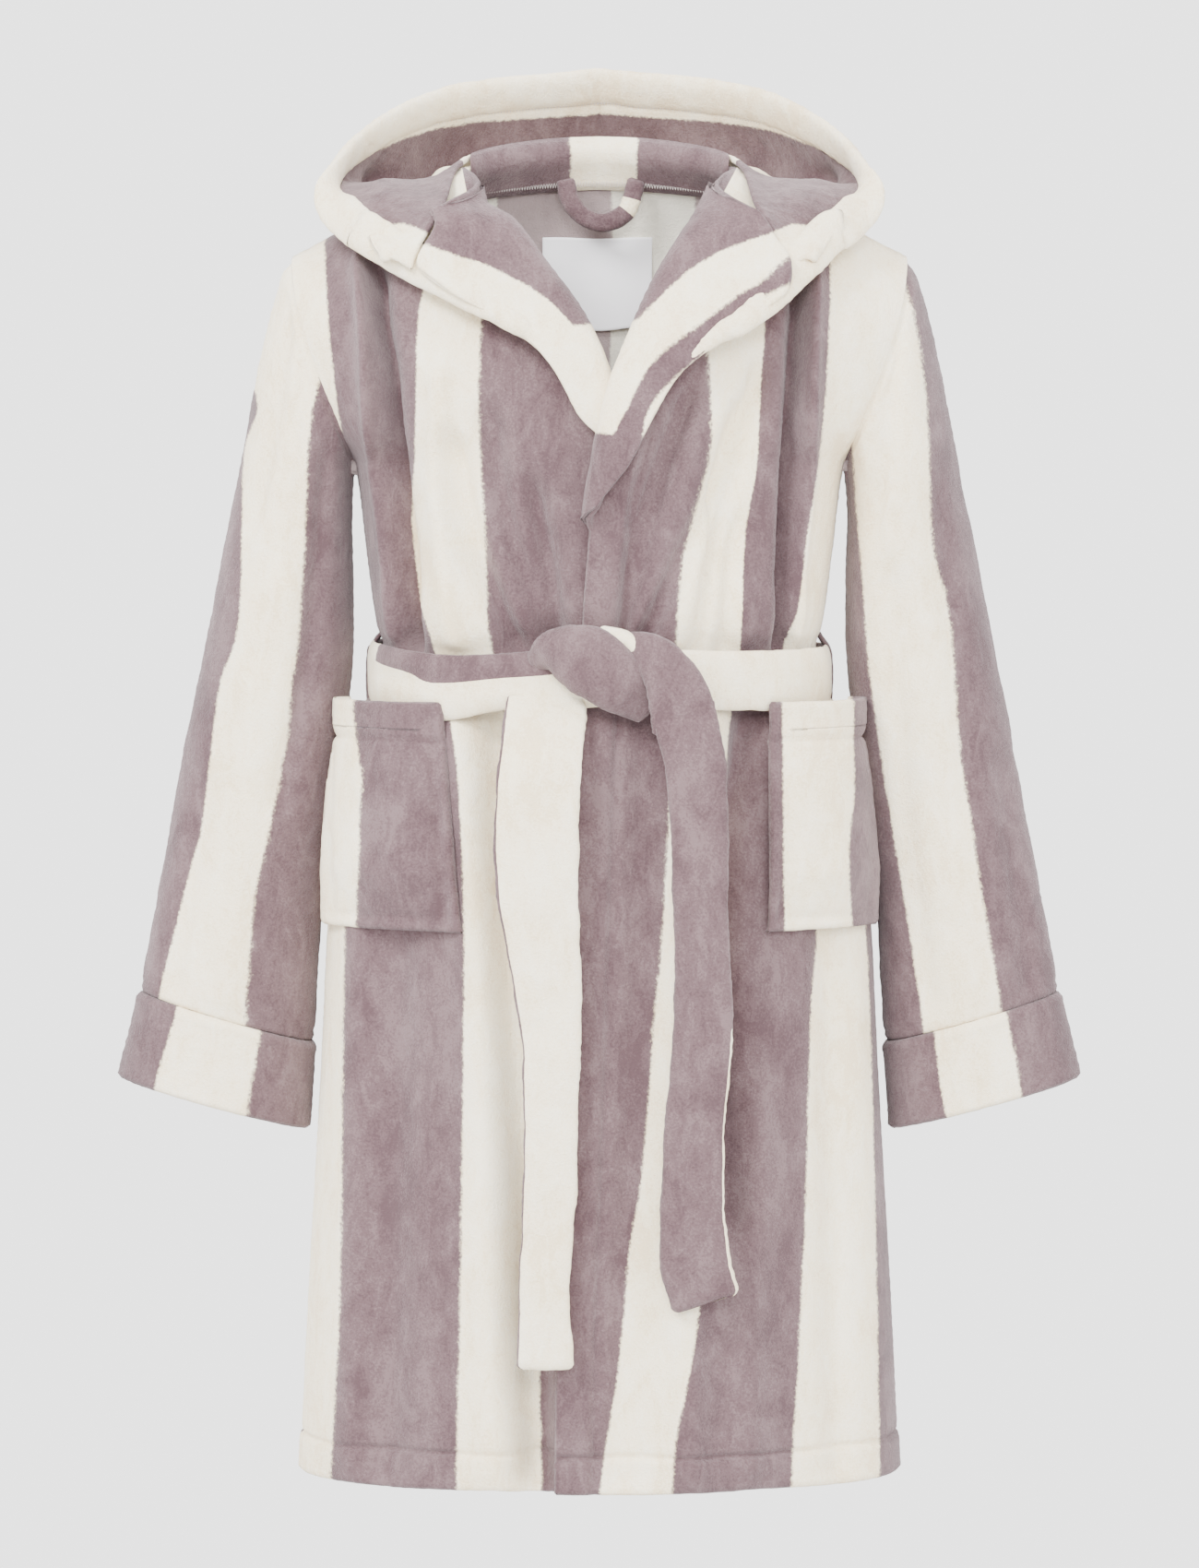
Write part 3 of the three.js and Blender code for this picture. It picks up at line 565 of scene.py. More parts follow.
# Each row of a panel starts at a height on the side seam and ends at this height at the front or back middle.
middle_height = track([
    (-50, 10), (-58, -3), (-74, -25), (-96, -48), (-118, -74), (-140, -100), (-165, -128), (-190, -158),
    (-212, -198), (-250, -246), (-290, -290), (-874, -874),
])
SIDE_ROWS = np.concatenate([
    np.linspace(SHOULDER[1], -80, 12)[:-1], np.linspace(-80, -200, 44)[:-1], np.linspace(-200, -300, 32)[:-1],
    np.linspace(-300, -400, 40)[:-1], np.linspace(-400, HEM_Z + HEM_BAND + 4, 110)[:-1],
    np.linspace(HEM_Z + HEM_BAND + 4, HEM_Z + HEM_BAND - 4, 7)[:-1], np.linspace(HEM_Z + HEM_BAND - 4, HEM_Z, 7),
])


def side_x(z):
    """Where the panels end at the side: the armhole, then the side seam."""
    return np.where(z > UNDERARM[1], armhole_x(z), half_width(z))


def ridge_z(x):
    """Height of the shoulder line."""
    return NECK[1] + (NECK[0] - np.abs(x)) * (NECK[1] - SHOULDER[1]) / (SHOULDER[0] - NECK[0])


def body_depth(x, z, depth):
    """How far the body reaches forwards or backwards; it closes towards the sides and the shoulder line."""
    across = np.clip(np.abs(x) / half_width(z), 0, 1)
    section = (1 - across**SECTION_POWER) ** (1 / SECTION_POWER)
    below = np.clip((ridge_z(x) - z) / 75.0, 0, 1)
    return depth(z) * section * np.sqrt(1 - (1 - below) ** 2)


def lap_lift(x):
    return LAP_LIFT * (1 - smooth((x - 55.0) / 55.0))


def fold(x, z, stations, width, depth, fade=30.0):
    """A fold that runs down the cloth: stations are (z, x), depth is negative for a valley. It has one
    steep side, as a fold has where cloth laps over itself."""
    line = track(stations)
    top, bottom = max(s[0] for s in stations), min(s[0] for s in stations)
    strength = smooth((top - z) / fade + 0.5) * smooth((z - bottom) / fade + 0.5)
    away = (x - line(z)) / width
    shape = np.exp(-away**2) * (1 - 0.55 * np.tanh(2.0 * away))
    return depth * strength * shape


def gathers(x, z, seed, height, reach=75.0):
    """Small pleats that run out of the belt, above and below it."""
    random = np.random.default_rng(seed)
    away = np.where(z < (BELT_LOW + BELT_HIGH) / 2, BELT_LOW - 1 - z, z - BELT_HIGH - 1)
    total = np.zeros_like(x)
    for _ in range(11):
        place, width = random.uniform(-150, 150), random.uniform(5, 10)
        lean = random.uniform(-0.18, 0.18)
        total += bell(x - place - lean * np.maximum(away, 0), width) * random.uniform(0.3, 1.0)
    return -height * total * np.exp(-np.maximum(away, 0) / reach)


# ---------------------------------------------------------------- fronts

ROLL_RADIUS = 5.5
FOLD_DEPTH = 1.45            # how deep the fronts' folds are, against their listed depths
ROLL_COLUMNS, LAPEL_COLUMNS = 10, 26
FACING_COLUMNS = ROLL_COLUMNS + LAPEL_COLUMNS + 26
# By height: the radius of the rolled front edge, the x of the roll, the width of the lapel that is turned over
# beyond it, and the angle that it is turned by.
left_radius = track([(10, ROLL_RADIUS), (-166, ROLL_RADIUS), (-214, 2.6), (-874, 2.0)])
right_radius = track([(10, ROLL_RADIUS), (-110, ROLL_RADIUS), (-150, 3.2), (-180, 1.6), (-874, 1.2)])
left_roll = track([
    (10, 93), (-25, 74), (-45, 61), (-74, 45), (-108, 30), (-138, 18), (-166, 11), (-187, 6), (-209, 0),
    (-250, -4), (-300, -8), (-430, -13), (-620, -19), (-790, -25), (-874, -26),
])
right_roll = track([
    (10, 93), (-19, 86), (-30, 68), (-59, 46), (-92, 22), (-116, 10), (-140, 0), (-166, -11), (-200, -24),
    (-260, -36), (-430, -44), (-874, -44),
])
left_lapel = track([
    (10, 0.5), (-15, 22), (-40, 50), (-62, 76), (-76, 80), (-92, 66), (-108, 46), (-128, 32), (-162, 21),
    (-188, 13), (-203, 6), (-214, 1.5), (-874, 1.5),
])
right_lapel = track([
    (10, 0.5), (-15, 24), (-40, 54), (-60, 75), (-72, 70), (-84, 54), (-95, 42), (-104, 34), (-126, 24), (-152, 20),
    (-162, 15), (-172, 6), (-178, 1.5), (-874, 1.5),
])
left_turn = track([(10, 0), (-5, 1.6), (-22, 2.8), (-45, 3.1), (-214, 3.1), (-232, 0)])
right_turn = track([(10, 0), (-5, 1.6), (-22, 2.8), (-45, 3.1), (-178, 3.1), (-192, 0)])
# Borders seen on the turned-over lapels, as height by distance from the middle. The cloth is mauve above the
# first border, cream below it, and the left lapel has a narrow mauve stripe along the second line.
lapel_border = {
    -1: track([(20, -99), (32, -86), (48, -74), (63, -66), (78, -58), (99, -51), (140, -40)]),
    1: track([(30, -96), (42, -79), (55, -67), (69, -57), (93, -45), (140, -30)]),
}
lapel_stripe = track([
    (12, -190), (18, -170), (33, -138), (38, -130), (70, -103), (100, -80), (117, -68), (140, -54),
])

# Each fold: its run as (height, x), its width and its depth, below zero for a valley.
FRONT_FOLDS = {
    -1: [
        ([(-50, -150), (-95, -145), (-133, -140), (-177, -138), (-221, -133), (-265, -128), (-316, -124)], 8, -15),
        ([(-50, -158), (-95, -154), (-177, -149), (-265, -139), (-316, -134)], 7, 7),
        ([(-170, -95), (-230, -84), (-280, -66), (-316, -48)], 11, -8),
        ([(-150, -70), (-210, -62), (-270, -44), (-316, -28)], 12, -6),
        ([(-120, -102), (-200, -103), (-270, -96), (-316, -88)], 13, 5),
        ([(-200, -42), (-260, -30), (-316, -22)], 11, -7),
        ([(-352, -66), (-450, -62), (-600, -52), (-874, -44)], 12, -9),
        ([(-352, -30), (-500, -28), (-700, -34), (-874, -33)], 13, -10),
        ([(-352, -92), (-500, -76), (-700, -70), (-874, -66)], 18, 5),
        ([(-500, -132), (-700, -136), (-874, -140)], 26, -6),
        ([(-380, -160), (-600, -160), (-874, -162)], 18, 4),
    ],
    1: [
        ([(-60, 136), (-108, 134), (-180, 132), (-237, 130), (-316, 125)], 7, -13),
        ([(-60, 146), (-108, 144), (-180, 141), (-237, 137), (-316, 131)], 7, 7),
        ([(-150, 98), (-200, 84), (-250, 60), (-290, 40), (-316, 28)], 9, -8),
        ([(-120, 110), (-180, 100), (-240, 84), (-316, 66)], 9, -6),
        ([(-140, 62), (-190, 44), (-240, 30), (-316, 14)], 9, -7),
        ([(-220, 100), (-316, 84)], 9, -5),
        ([(-352, 104), (-450, 92), (-560, 90), (-700, 92)], 11, -9),
        ([(-352, 72), (-480, 66), (-700, 62), (-874, 66)], 16, 5),
        ([(-420, 160), (-600, 164), (-874, 168)], 16, -5),
        ([(-600, 112), (-874, 104)], 20, 4),
        ([(-352, 40), (-600, 30), (-874, 22)], 18, -4),
    ],
}


def panel_relief(grid, side, seam_distance):
    """How far the cloth stands out from the plain body: folds, gathers, blousing and rumples."""
    x, z = grid[..., 0], grid[..., 2]
    relief = np.zeros_like(x)
    for stations, width, depth in FRONT_FOLDS[side]:
        relief += fold(x, z, stations, width, depth * FOLD_DEPTH)
    relief += gathers(x, z, 40 + side, 1.6)
    relief += 5.0 * bell(z + 292, 22) - 1.0 * bell(z + 334, 22)
    relief += 2.0 * RUMPLE(grid) + 0.8 * MID_RUMPLE(grid)
    return relief * smooth(seam_distance / 25.0)


def hem_step(z):
    """A turned hem: a thicker band below a stitched groove."""
    line = HEM_Z + HEM_BAND
    return 1.3 * smooth((line - z) / 3.0) - 2.6 * bell(z - line, 2.2)


def front_grid(side):
    """A front panel with its rolled edge and its lapel, and each point's distance along the lapel, -1 off it."""
    roll, lapel, turn = (right_roll, right_lapel, right_turn) if side < 0 else (left_roll, left_lapel, left_turn)
    side_z = SIDE_ROWS[:, None]
    middle = middle_height(side_z)
    columns = np.concatenate([np.linspace(0, 0.82, 80)[:-1], np.linspace(0.82, 1, 46)])[None, :]
    share = 1 - np.cos(columns * math.pi / 2) ** (2 / SECTION_POWER)
    x = mix(side_x(side_z), roll(middle), share)
    z = mix(side_z, middle, share)
    lift = 0 if side < 0 else lap_lift(x) * smooth((NECK[1] - z) / 60)
    y = -body_depth(x, z, front_depth) - lift - 0.3
    flat = np.stack([side * x, y, z], axis=2)
    seam = np.hypot(side_x(side_z) - x, 0.4 * (side_z - z))
    seam = np.minimum(seam, (ridge_z(x) - z) * 1.2 + 4)
    relief = panel_relief(flat, side, seam)
    if side < 0:
        under_lap = smooth((12.0 - x) / 30.0) * smooth((-150 - z) / 25.0 + 0.3)
        relief = mix(relief, -7.0, under_lap)
    else:
        deepest = -6.0
        limited = np.maximum(relief, deepest - 0.25 * np.maximum(deepest - relief, 0))
        relief = np.where(x < 75, limited, relief)
    edge = x - roll(z)
    relief = relief * smooth(edge / 40.0 + 0.25)
    if side > 0:
        below = smooth((-150 - z) / 40.0)
        band = mix(2.8, 1.3, smooth((-200 - z) / 90)) * below
        relief += band * smooth((EDGE_BAND - edge) / 5.0) - 2.2 * below * bell(edge - EDGE_BAND - 1.0, 2.6)
    relief += hem_step(z)
    surface = flat + grid_normals(flat) * side * relief[..., None]

    last = surface[:, -1]
    along = unit((last - surface[:, -4]) * (1, 1, 0))
    away = unit(np.array([0.0, -1.0, 0.0]) + along * along[:, 1:2])
    height = middle[:, 0]
    angle = turn(height)[:, None]
    radius = (right_radius if side < 0 else left_radius)(height)[:, None]
    extra, distance = [], []
    for u in np.linspace(0, 1, ROLL_COLUMNS + 1)[1:]:
        step = along * (radius * np.sin(angle * u) + u)
        extra.append(last + step + away * (radius * (1 - np.cos(angle * u))))
        distance.append(np.zeros(len(last)))
    heading = along * np.cos(angle) + away * np.sin(angle)
    width = lapel(height)
    sag = 3.0 * smooth(width / 40)
    start = extra[-1]
    for u in np.linspace(0, 1, LAPEL_COLUMNS + 1)[1:]:
        lean = away * (sag * math.sin(math.pi * u) + 1.5 * u * np.minimum(width / 20, 1))[:, None]
        extra.append(start + heading * (u * width)[:, None] + lean)
        distance.append(u * width)
    grid = np.concatenate([surface, np.stack(extra, axis=1)], axis=1)
    return grid, np.concatenate([np.full(x.shape, -1.0), np.stack(distance, axis=1)], axis=1)


def front_stripe(side, grid, lapel_distance):
    x, z = grid[..., 0], grid[..., 2]
    body = (RIGHT_FRONT_STRIPES if side < 0 else LEFT_FRONT_STRIPES)(x, z)
    across = np.abs(x)
    upper = patch(z - lapel_border[side](across))
    if side < 0:
        return np.where(lapel_distance >= 0, upper, np.clip(body, -1, 2.9))
    half = mix(4.0, 7.0, smooth((-80 - z) / 60)) + 12.0 * smooth((-150 - z) / 40)
    narrow = patch(half - 0.6 * np.abs(z - lapel_stripe(across)))
    below = patch((-192 - z) * 0.5)
    lapel = np.minimum(np.minimum(upper, narrow), below)
    return np.where(lapel_distance >= 0, lapel, body)


LAPEL_LINES = {}             # by side: the outer edge of the lapel and the line where it starts


def build_front(side):
    name = SIDE_NAMES[side]
    grid, distance = front_grid(side)
    stripe = front_stripe(side, grid, distance)
    panel = cloth(f"{name}_front_panel_cloth", grid, stripe, outward=side)
    finish_piece(panel, f"{name}_front_panel", "root")
    LAPEL_LINES[side] = (grid[:, -1], grid[:, -1 - LAPEL_COLUMNS])
    facing = cloth(f"{name}_front_facing_strip", grid[:, -FACING_COLUMNS:], stripe[:, -FACING_COLUMNS:],
                   outward=side, thickness=2.6, near=4.7, fuzz=0.7, materials=[PLUSH, PLUSH])
    finish_piece(facing, f"{name}_front_facing", "root")


# ---------------------------------------------------------------- back

NECK_SHARE = NECK[0] / SHOULDER[0]
NECK_RISE = 12.0             # how far the neck edge rises between the shoulders and the back's middle
BACK_STRIPE_SCALE = 205.0    # millimetres of cloth from the back's middle to a side seam
BACK_STRIPE_START = 71.0


def back_grid():
    """The back panel, and each column's share of the way from the middle to the side."""
    angle_end = math.acos(NECK_SHARE ** (SECTION_POWER / 2))
    side_share = np.cos(np.linspace(0, angle_end, 50)) ** (2 / SECTION_POWER)
    neck_share = NECK_SHARE * np.linspace(1, -1, 62)[1:-1]
    share = np.concatenate([side_share, neck_share, -side_share[::-1]])[None, :]
    side_z = SIDE_ROWS[:, None]
    middle = middle_height(side_z)
    x = side_x(side_z) * share
    towards = np.minimum((1 - np.abs(share)) / (1 - NECK_SHARE), 1)
    fade = smooth((side_z + 74) / 24)
    rise = fade * NECK_RISE * (1 - np.minimum(np.abs(share) / NECK_SHARE, 1) ** 2)
    z = mix(side_z, middle, towards) + rise
    flat = np.stack([x, body_depth(x, z, back_depth) + 0.3, z], axis=2)
    seam = np.minimum(side_x(side_z) - np.abs(x), (ridge_z(x) - z) * 1.2 + 4)
    relief = 2.2 * RUMPLE(flat) + 0.9 * MID_RUMPLE(flat) + 5.0 * bell(z + 290, 24)
    relief += gathers(x, z, 77, 2.2)
    for place, lean, depth in ((-120, 20, -7), (-66, 8, -6), (-8, 0, -7), (52, -6, -6), (112, -18, -7)):
        relief += fold(x, z, [(BELT_LOW, place * 0.8), (-500, place), (HEM_Z, place + lean)], 15, depth)
        relief += fold(x, z, [(-180, place), (-250, place * 0.95), (BELT_HIGH, place * 0.85)], 12, depth * 0.6)
    relief = relief * smooth(seam / 25.0) * smooth((-40 - z) / 40) + hem_step(z)
    return flat - grid_normals(flat) * relief[..., None], share


def build_back():
    grid, share = back_grid()
    stripe = repeat_stripes(share * BACK_STRIPE_SCALE + BACK_STRIPE_START + 0 * grid[..., 0])
    panel = cloth("back_panel_cloth", grid, stripe, outward=-1)
    finish_piece(panel, "back_panel", "root")

    rows = np.where(grid[:, grid.shape[1] // 2, 2] > -5)[0]
    columns = np.where(np.abs(share[0]) < NECK_SHARE * 0.985)[0]
    strip = grid[rows[0]:rows[-1] + 1, columns[0]:columns[-1] + 1]
    over_seam = [strip[0] + np.array([0.0, 9.5 * math.sin(u), 4.5 * math.sin(0.9 * u) + 1.5 * u])
                 for u in np.linspace(math.pi / 2, 0, 8)[:-1]]
    strip = np.concatenate([np.array(over_seam), strip])
    tape_stripe = np.interp(strip[..., 0], [-93, -21, 27, 93], [0.2, 1.0, 2.0, 2.8])
    tape = cloth("back_neck_tape_strip", strip, tape_stripe, outward=-1, thickness=2.2, near=4.8, fuzz=0.3,
                 materials=[PLUSH, PLUSH])
    threads = overlock("neck_tape_overlock", strip[-1] + np.array([0.0, -9.6, 0.4]), 3.6, 1.8, 0.5)
    threads.parent = tape
    finish_piece(tape, "back_neck_tape", "root")


def overlock(name, line, height, pitch, radius, up=(0.0, 0.0, 1.0)):
    """Zigzag of thread along a line; up is the direction of its height."""
    steps = np.linalg.norm(np.diff(line, axis=0), axis=1)
    keys = np.concatenate([[0], np.cumsum(steps)])
    count = max(int(keys[-1] / pitch) * 2, 4)
    at = np.linspace(0, keys[-1], count)
    points = np.stack([np.interp(at, keys, line[:, k]) for k in range(3)], axis=1)
    points += np.outer(np.where(np.arange(count) % 2, 1, -1) * height / 2, up)
    return thread_line(name, points, radius)


def thread_line(name, points, radius):
    curve = bpy.data.curves.new(name, "CURVE")
    curve.dimensions = "3D"
    curve.bevel_depth = radius * MM
    curve.bevel_resolution = 1
    spline = curve.splines.new("POLY")
    spline.points.add(len(points) - 1)
    spline.points.foreach_set("co", np.hstack([points * MM, np.ones((len(points), 1))]).ravel())
    holder = bpy.data.objects.new(name, curve)
    mesh = bpy.data.meshes.new_from_object(holder)
    bpy.data.objects.remove(holder)
    mesh.materials.clear()
    mesh.materials.append(THREAD)
    piece = bpy.data.objects.new(name, mesh)
    bpy.context.scene.collection.objects.link(piece)
    return piece


# ---------------------------------------------------------------- sleeves

# By the share of the way from the armhole to the cuff: the outer and the inner side, half the depth and how far
# back the middle lies.
sleeve_outer_x = track([
    (0, 208), (0.03, 214), (0.06, 219), (0.15, 229), (0.35, 250), (0.55, 272), (0.8, 298), (1, 314),
])
sleeve_outer_z = track([
    (0, -50), (0.03, -60), (0.06, -74), (0.15, -116), (0.35, -220), (0.55, -330), (0.8, -462), (1, -550),
])
sleeve_inner_x = track([(0, 165), (0.06, 167), (0.15, 168), (0.35, 167), (0.55, 175), (0.8, 190), (1, 195)])
sleeve_inner_z = track([
    (0, -190), (0.06, -200), (0.15, -228), (0.35, -300), (0.55, -390), (0.8, -504), (1, -584),
])
sleeve_depth = track([(0, 50), (0.15, 56), (0.4, 48), (0.7, 41), (1, 37)])
sleeve_set = track([(0, 2), (0.4, 6), (1, 8)])
SLEEVE_AROUND = 120
SLEEVE_BLEND = ((0.1865, 0.0, -0.1200), (0.2440, 0.0, -0.1377))
CUFF_OUTER, CUFF_INNER, CUFF_DEPTH = (328.0, -607.0), (199.0, -642.0), 37.0

SLEEVE_STRIPES = {
    -1: stripes_by_x([
        [(-50, -330), (-110, -262), (-130, -240), (-150, -231), (-184, -241), (-277, -242), (-305, -245),
         (-339, -257), (-369, -261), (-400, -265), (-437, -270), (-462, -277), (-508, -289), (-548, -299),
         (-650, -312)],
        [(-50, -150), (-135, -189), (-159, -194), (-184, -196), (-243, -199), (-309, -204), (-339, -208),
         (-369, -211), (-437, -224), (-489, -235), (-527, -238), (-569, -241), (-650, -250)],
        [(-50, -70), (-650, -110)],
    ], -1),
    1: stripes_by_x([
        [(-50, 120), (-110, 155), (-140, 167), (-188, 171), (-288, 179), (-332, 183), (-369, 188), (-444, 200),
         (-523, 213), (-573, 220), (-650, 228)],
        [(-50, 196), (-81, 209), (-117, 216), (-154, 220), (-243, 224), (-283, 234), (-320, 239), (-369, 242),
         (-444, 253), (-489, 260), (-565, 273), (-650, 286)],
        [(-50, 330), (-650, 380)],
    ], 1),
}
CUFF_STRIPES = {
    -1: stripes_by_x([[(-560, -287), (-611, -302), (-650, -310)], [(-560, -228), (-632, -240), (-650, -242)],
                      [(-560, -120), (-650, -120)]], -1),
    1: stripes_by_x([[(-560, 226), (-592, 229), (-637, 236)],
                     [(-560, 275), (-577, 279), (-622, 287), (-650, 292)],
                     [(-560, 400), (-650, 400)]], 1),
}
# Folds as in FRONT_FOLDS.
SLEEVE_FOLDS = {
    -1: [([(-70, -206), (-150, -216), (-230, -232)], 11, -5),
         ([(-100, -190), (-190, -206), (-260, -214)], 9, -4),
         ([(-180, -178), (-300, -190), (-420, -214)], 11, -5), ([(-400, -262), (-560, -290)], 14, -4),
         ([(-330, -228), (-560, -246)], 15, 3)],
    1: [([(-90, 204), (-170, 196), (-240, 186)], 9, -4), ([(-200, 232), (-330, 246), (-430, 256)], 12, -3),
        ([(-260, 200), (-420, 210), (-560, 228)], 12, -4), ([(-380, 278), (-560, 300)], 14, -4)],
}


def ring_grid(side, outer, inner, depth, backset, grow=0.0):
    """Stack of rings, each through an outer and an inner point. All arguments are columns."""
    angle = np.arange(SLEEVE_AROUND)[None, :] / SLEEVE_AROUND * 2 * math.pi
    length = np.hypot(outer[0] - inner[0], outer[1] - inner[1])
    reach = np.cos(angle) * (1 + 2 * grow / length) / 2
    x = (outer[0] + inner[0]) / 2 + (outer[0] - inner[0]) * reach
    z = (outer[1] + inner[1]) / 2 + (outer[1] - inner[1]) * reach
    y = backset - (depth + grow) * np.sin(angle)
    return np.stack([side * x, y + 0 * x, z], axis=2), angle


def armhole_ring(side):
    angle = np.arange(SLEEVE_AROUND) / SLEEVE_AROUND * 2 * math.pi
    z = mix(SHOULDER[1], UNDERARM[1], (1 - np.cos(angle)) / 2)
    x = armhole_x(z)
    y = np.where(np.sin(angle) >= 0, -body_depth(x, z, front_depth), body_depth(x, z, back_depth))
    return np.stack([side * (x - 0.4), y, z], axis=1)


def sleeve_grid(side):
    s = np.concatenate([np.linspace(0, 0.2, 34)[:-1], np.linspace(0.2, 1, 104)])[:, None]
    outer = (sleeve_outer_x(s), sleeve_outer_z(s))
    inner = (sleeve_inner_x(s), sleeve_inner_z(s))
    grid, angle = ring_grid(side, outer, inner, sleeve_depth(s), sleeve_set(s))
    keep = (1 - smooth(s / 0.2))[..., None]
    grid = grid + keep * (armhole_ring(side) - grid[0])[None]
    x, z = grid[..., 0], grid[..., 2]
    relief = 1.6 * RUMPLE(grid) + 0.8 * MID_RUMPLE(grid)
    front = np.sin(angle) * 0.5 + 0.5
    for stations, width, depth in SLEEVE_FOLDS[side]:
        relief += fold(x, z, stations, width, depth) * front
    along = s + 0 * x
    relief *= smooth(along / 0.05) * smooth((1 - along) / 0.03)
    relief += -1.8 * bell(along - 0.012, 0.012) - 1.8 * bell(along - 1.0, 0.006)
    relief += -1.0 * bell(along - 0.985, 0.004)
    return grid + grid_normals(grid, True) * side * relief[..., None]


def cuff_grid(side):
    s = np.linspace(0, 1, 30)[:, None]
    top_outer = (sleeve_outer_x(1), sleeve_outer_z(1) - 0.6)
    top_inner = (sleeve_inner_x(1), sleeve_inner_z(1) - 0.6)
    outer = [mix(top, low, s) for top, low in zip(top_outer, CUFF_OUTER)]
    inner = [mix(top, low, s) for top, low in zip(top_inner, CUFF_INNER)]
    grid, _ = ring_grid(side, outer, inner, mix(sleeve_depth(1), CUFF_DEPTH, s), sleeve_set(1), grow=1.4)
    relief = 0.8 * MID_RUMPLE(grid) - 2.0 * bell(s, 0.04) + 0.6 * bell(s - 0.08, 0.05)
    return grid + grid_normals(grid, True) * side * relief[..., None]


def build_sleeve(side):
    name = SIDE_NAMES[side]
    body = f"{name}_sleeve"
    grid = sleeve_grid(side)
    stripe = SLEEVE_STRIPES[side](grid[..., 0], grid[..., 2])
    sleeve = cloth(f"{name}_sleeve_cloth", grid, stripe, outward=side, closed=True)
    start, end = ((side * x, y, z) for x, y, z in SLEEVE_BLEND)
    finish_piece(sleeve, body, ("root", body, start, end))
    grid = cuff_grid(side)
    stripe = CUFF_STRIPES[side](grid[..., 0], grid[..., 2])
    cuff = cloth(f"{name}_cuff_band", grid, stripe, outward=side, closed=True, thickness=5.0)
    finish_piece(cuff, f"{name}_cuff", body)


# ---------------------------------------------------------------- hood


HOOD_SAMPLES = 240


def hood_curve(points):
    return catmull(points, HOOD_SAMPLES)


# From the front corner round to the middle of the back: the seam at the neck, the pull of the pouch, the rim.
HOOD_SEAM = hood_curve([
    (129, -95, -70), (121, -90, -48), (104, -68, -18), (93.5, 0, 11), (64, 45, 20), (0, 62, 24),
])
HOOD_POUCH = hood_curve([
    (132, -99, -69), (140, -94, -50), (160, -50, -34), (214, 40, -36), (120, 190, -62), (0, 236, -72),
])
HOOD_RIM = hood_curve([
    (131, -101, -67), (152, -86, -44), (174, -42, -8), (164, 30, 30), (106, 96, 64), (0, 128, 78),
])
HOOD_FRONT, HOOD_REACH = 0.05, 0.93      # where a half starts, around and how far it reaches, across
BRIM_WIDTH = 28.0
BRIM_THICK = 11.5
BRIM_SAMPLES = 230
# Height of the border between the mauve lobe and the cream corner of the hood, by x.
hood_corner = track([(80, -44), (105, -40), (130, -32), (165, -34), (200, -30)])


def hood_blend(side):
    """The bodies and two points of a blend in which the neck seam and the front corners stay with the body and the
    rim and the back of the hood rise; finish_piece only bakes the pieces where they stand.
    """
    return ("root", "hood", (side * 0.0207, 0.0310, 0.0414), (side * 0.0431, 0.0647, 0.0862))


def hood_surface(side, around, across):
    """Outer face of one half. around is 0 at the front corner and 1 at the middle of the back; across is 0 at
    the neck seam and 1 at the rim."""
    at = np.clip(around, 0, 1) * (HOOD_SAMPLES - 1)
    low = np.floor(at).astype(int).clip(0, HOOD_SAMPLES - 2)
    part = (at - low)[..., None]
    seam, pouch, rim = (mix(c[low], c[low + 1], part) for c in (HOOD_SEAM, HOOD_POUCH, HOOD_RIM))
    t = across[..., None]
    point = seam * (1 - t) ** 2 + pouch * 2 * t * (1 - t) + rim * t**2
    point[..., 0] *= side
    return point


def hood_grid(side):
    a, t = np.meshgrid(np.linspace(HOOD_FRONT, 1, 130), np.linspace(0, HOOD_REACH, 70), indexing="ij")
    grid = hood_surface(side, a, t)
    inner_part = smooth(t / 0.25) * smooth((0.88 - t) / 0.2)
    near_neck = smooth(t / 0.15) * smooth((0.62 - t) / 0.25)
    relief = 3.0 * RUMPLE(grid) + 1.4 * MID_RUMPLE(grid)
    relief += (-13.0 * bell(a - 0.36, 0.13) + 13.0 * bell(a - 0.535, 0.035)) * inner_part
    relief += (-7.0 * bell(a - 0.60, 0.03) + 6.0 * bell(a - 0.66, 0.03)) * near_neck
    relief += -6.0 * bell(a - 0.82, 0.06) * inner_part
    relief *= smooth(t / 0.12) * smooth((HOOD_REACH - t) / 0.1) * smooth((1 - a) / 0.05) * smooth(a / 0.1)
    grid = grid - grid_normals(grid) * side * relief[..., None]
    grid[..., 1] += 4.5 * smooth((t - 0.6) / 0.2) * smooth((0.62 - a) / 0.1)
    return grid, a, t


def hood_stripe(grid, a, t):
    """Seen from the front, the stripes behind the neck run beside the rim. In the corners over the shoulders
    the hood folds over: a mauve lobe above a cream corner, with a strip of cream where the fold begins."""
    steps = np.linalg.norm(np.diff(grid, axis=1), axis=2)
    travelled = np.pad(np.cumsum(steps, axis=1), ((0, 0), (1, 0)))
    back_part = repeat_stripes(travelled[:, -1:] - travelled - 6.0)
    lobe = patch(grid[..., 2] - hood_corner(np.abs(grid[..., 0])))
    fold_strip = patch(-(14.0 - 160.0 * np.abs(a - 0.60) - 22.0 * smooth((t - 0.3) / 0.2)))
    back_part = np.where((a < 0.70) & (t < 0.5), fold_strip, back_part)
    return np.where(a < 0.545, lobe, back_part)


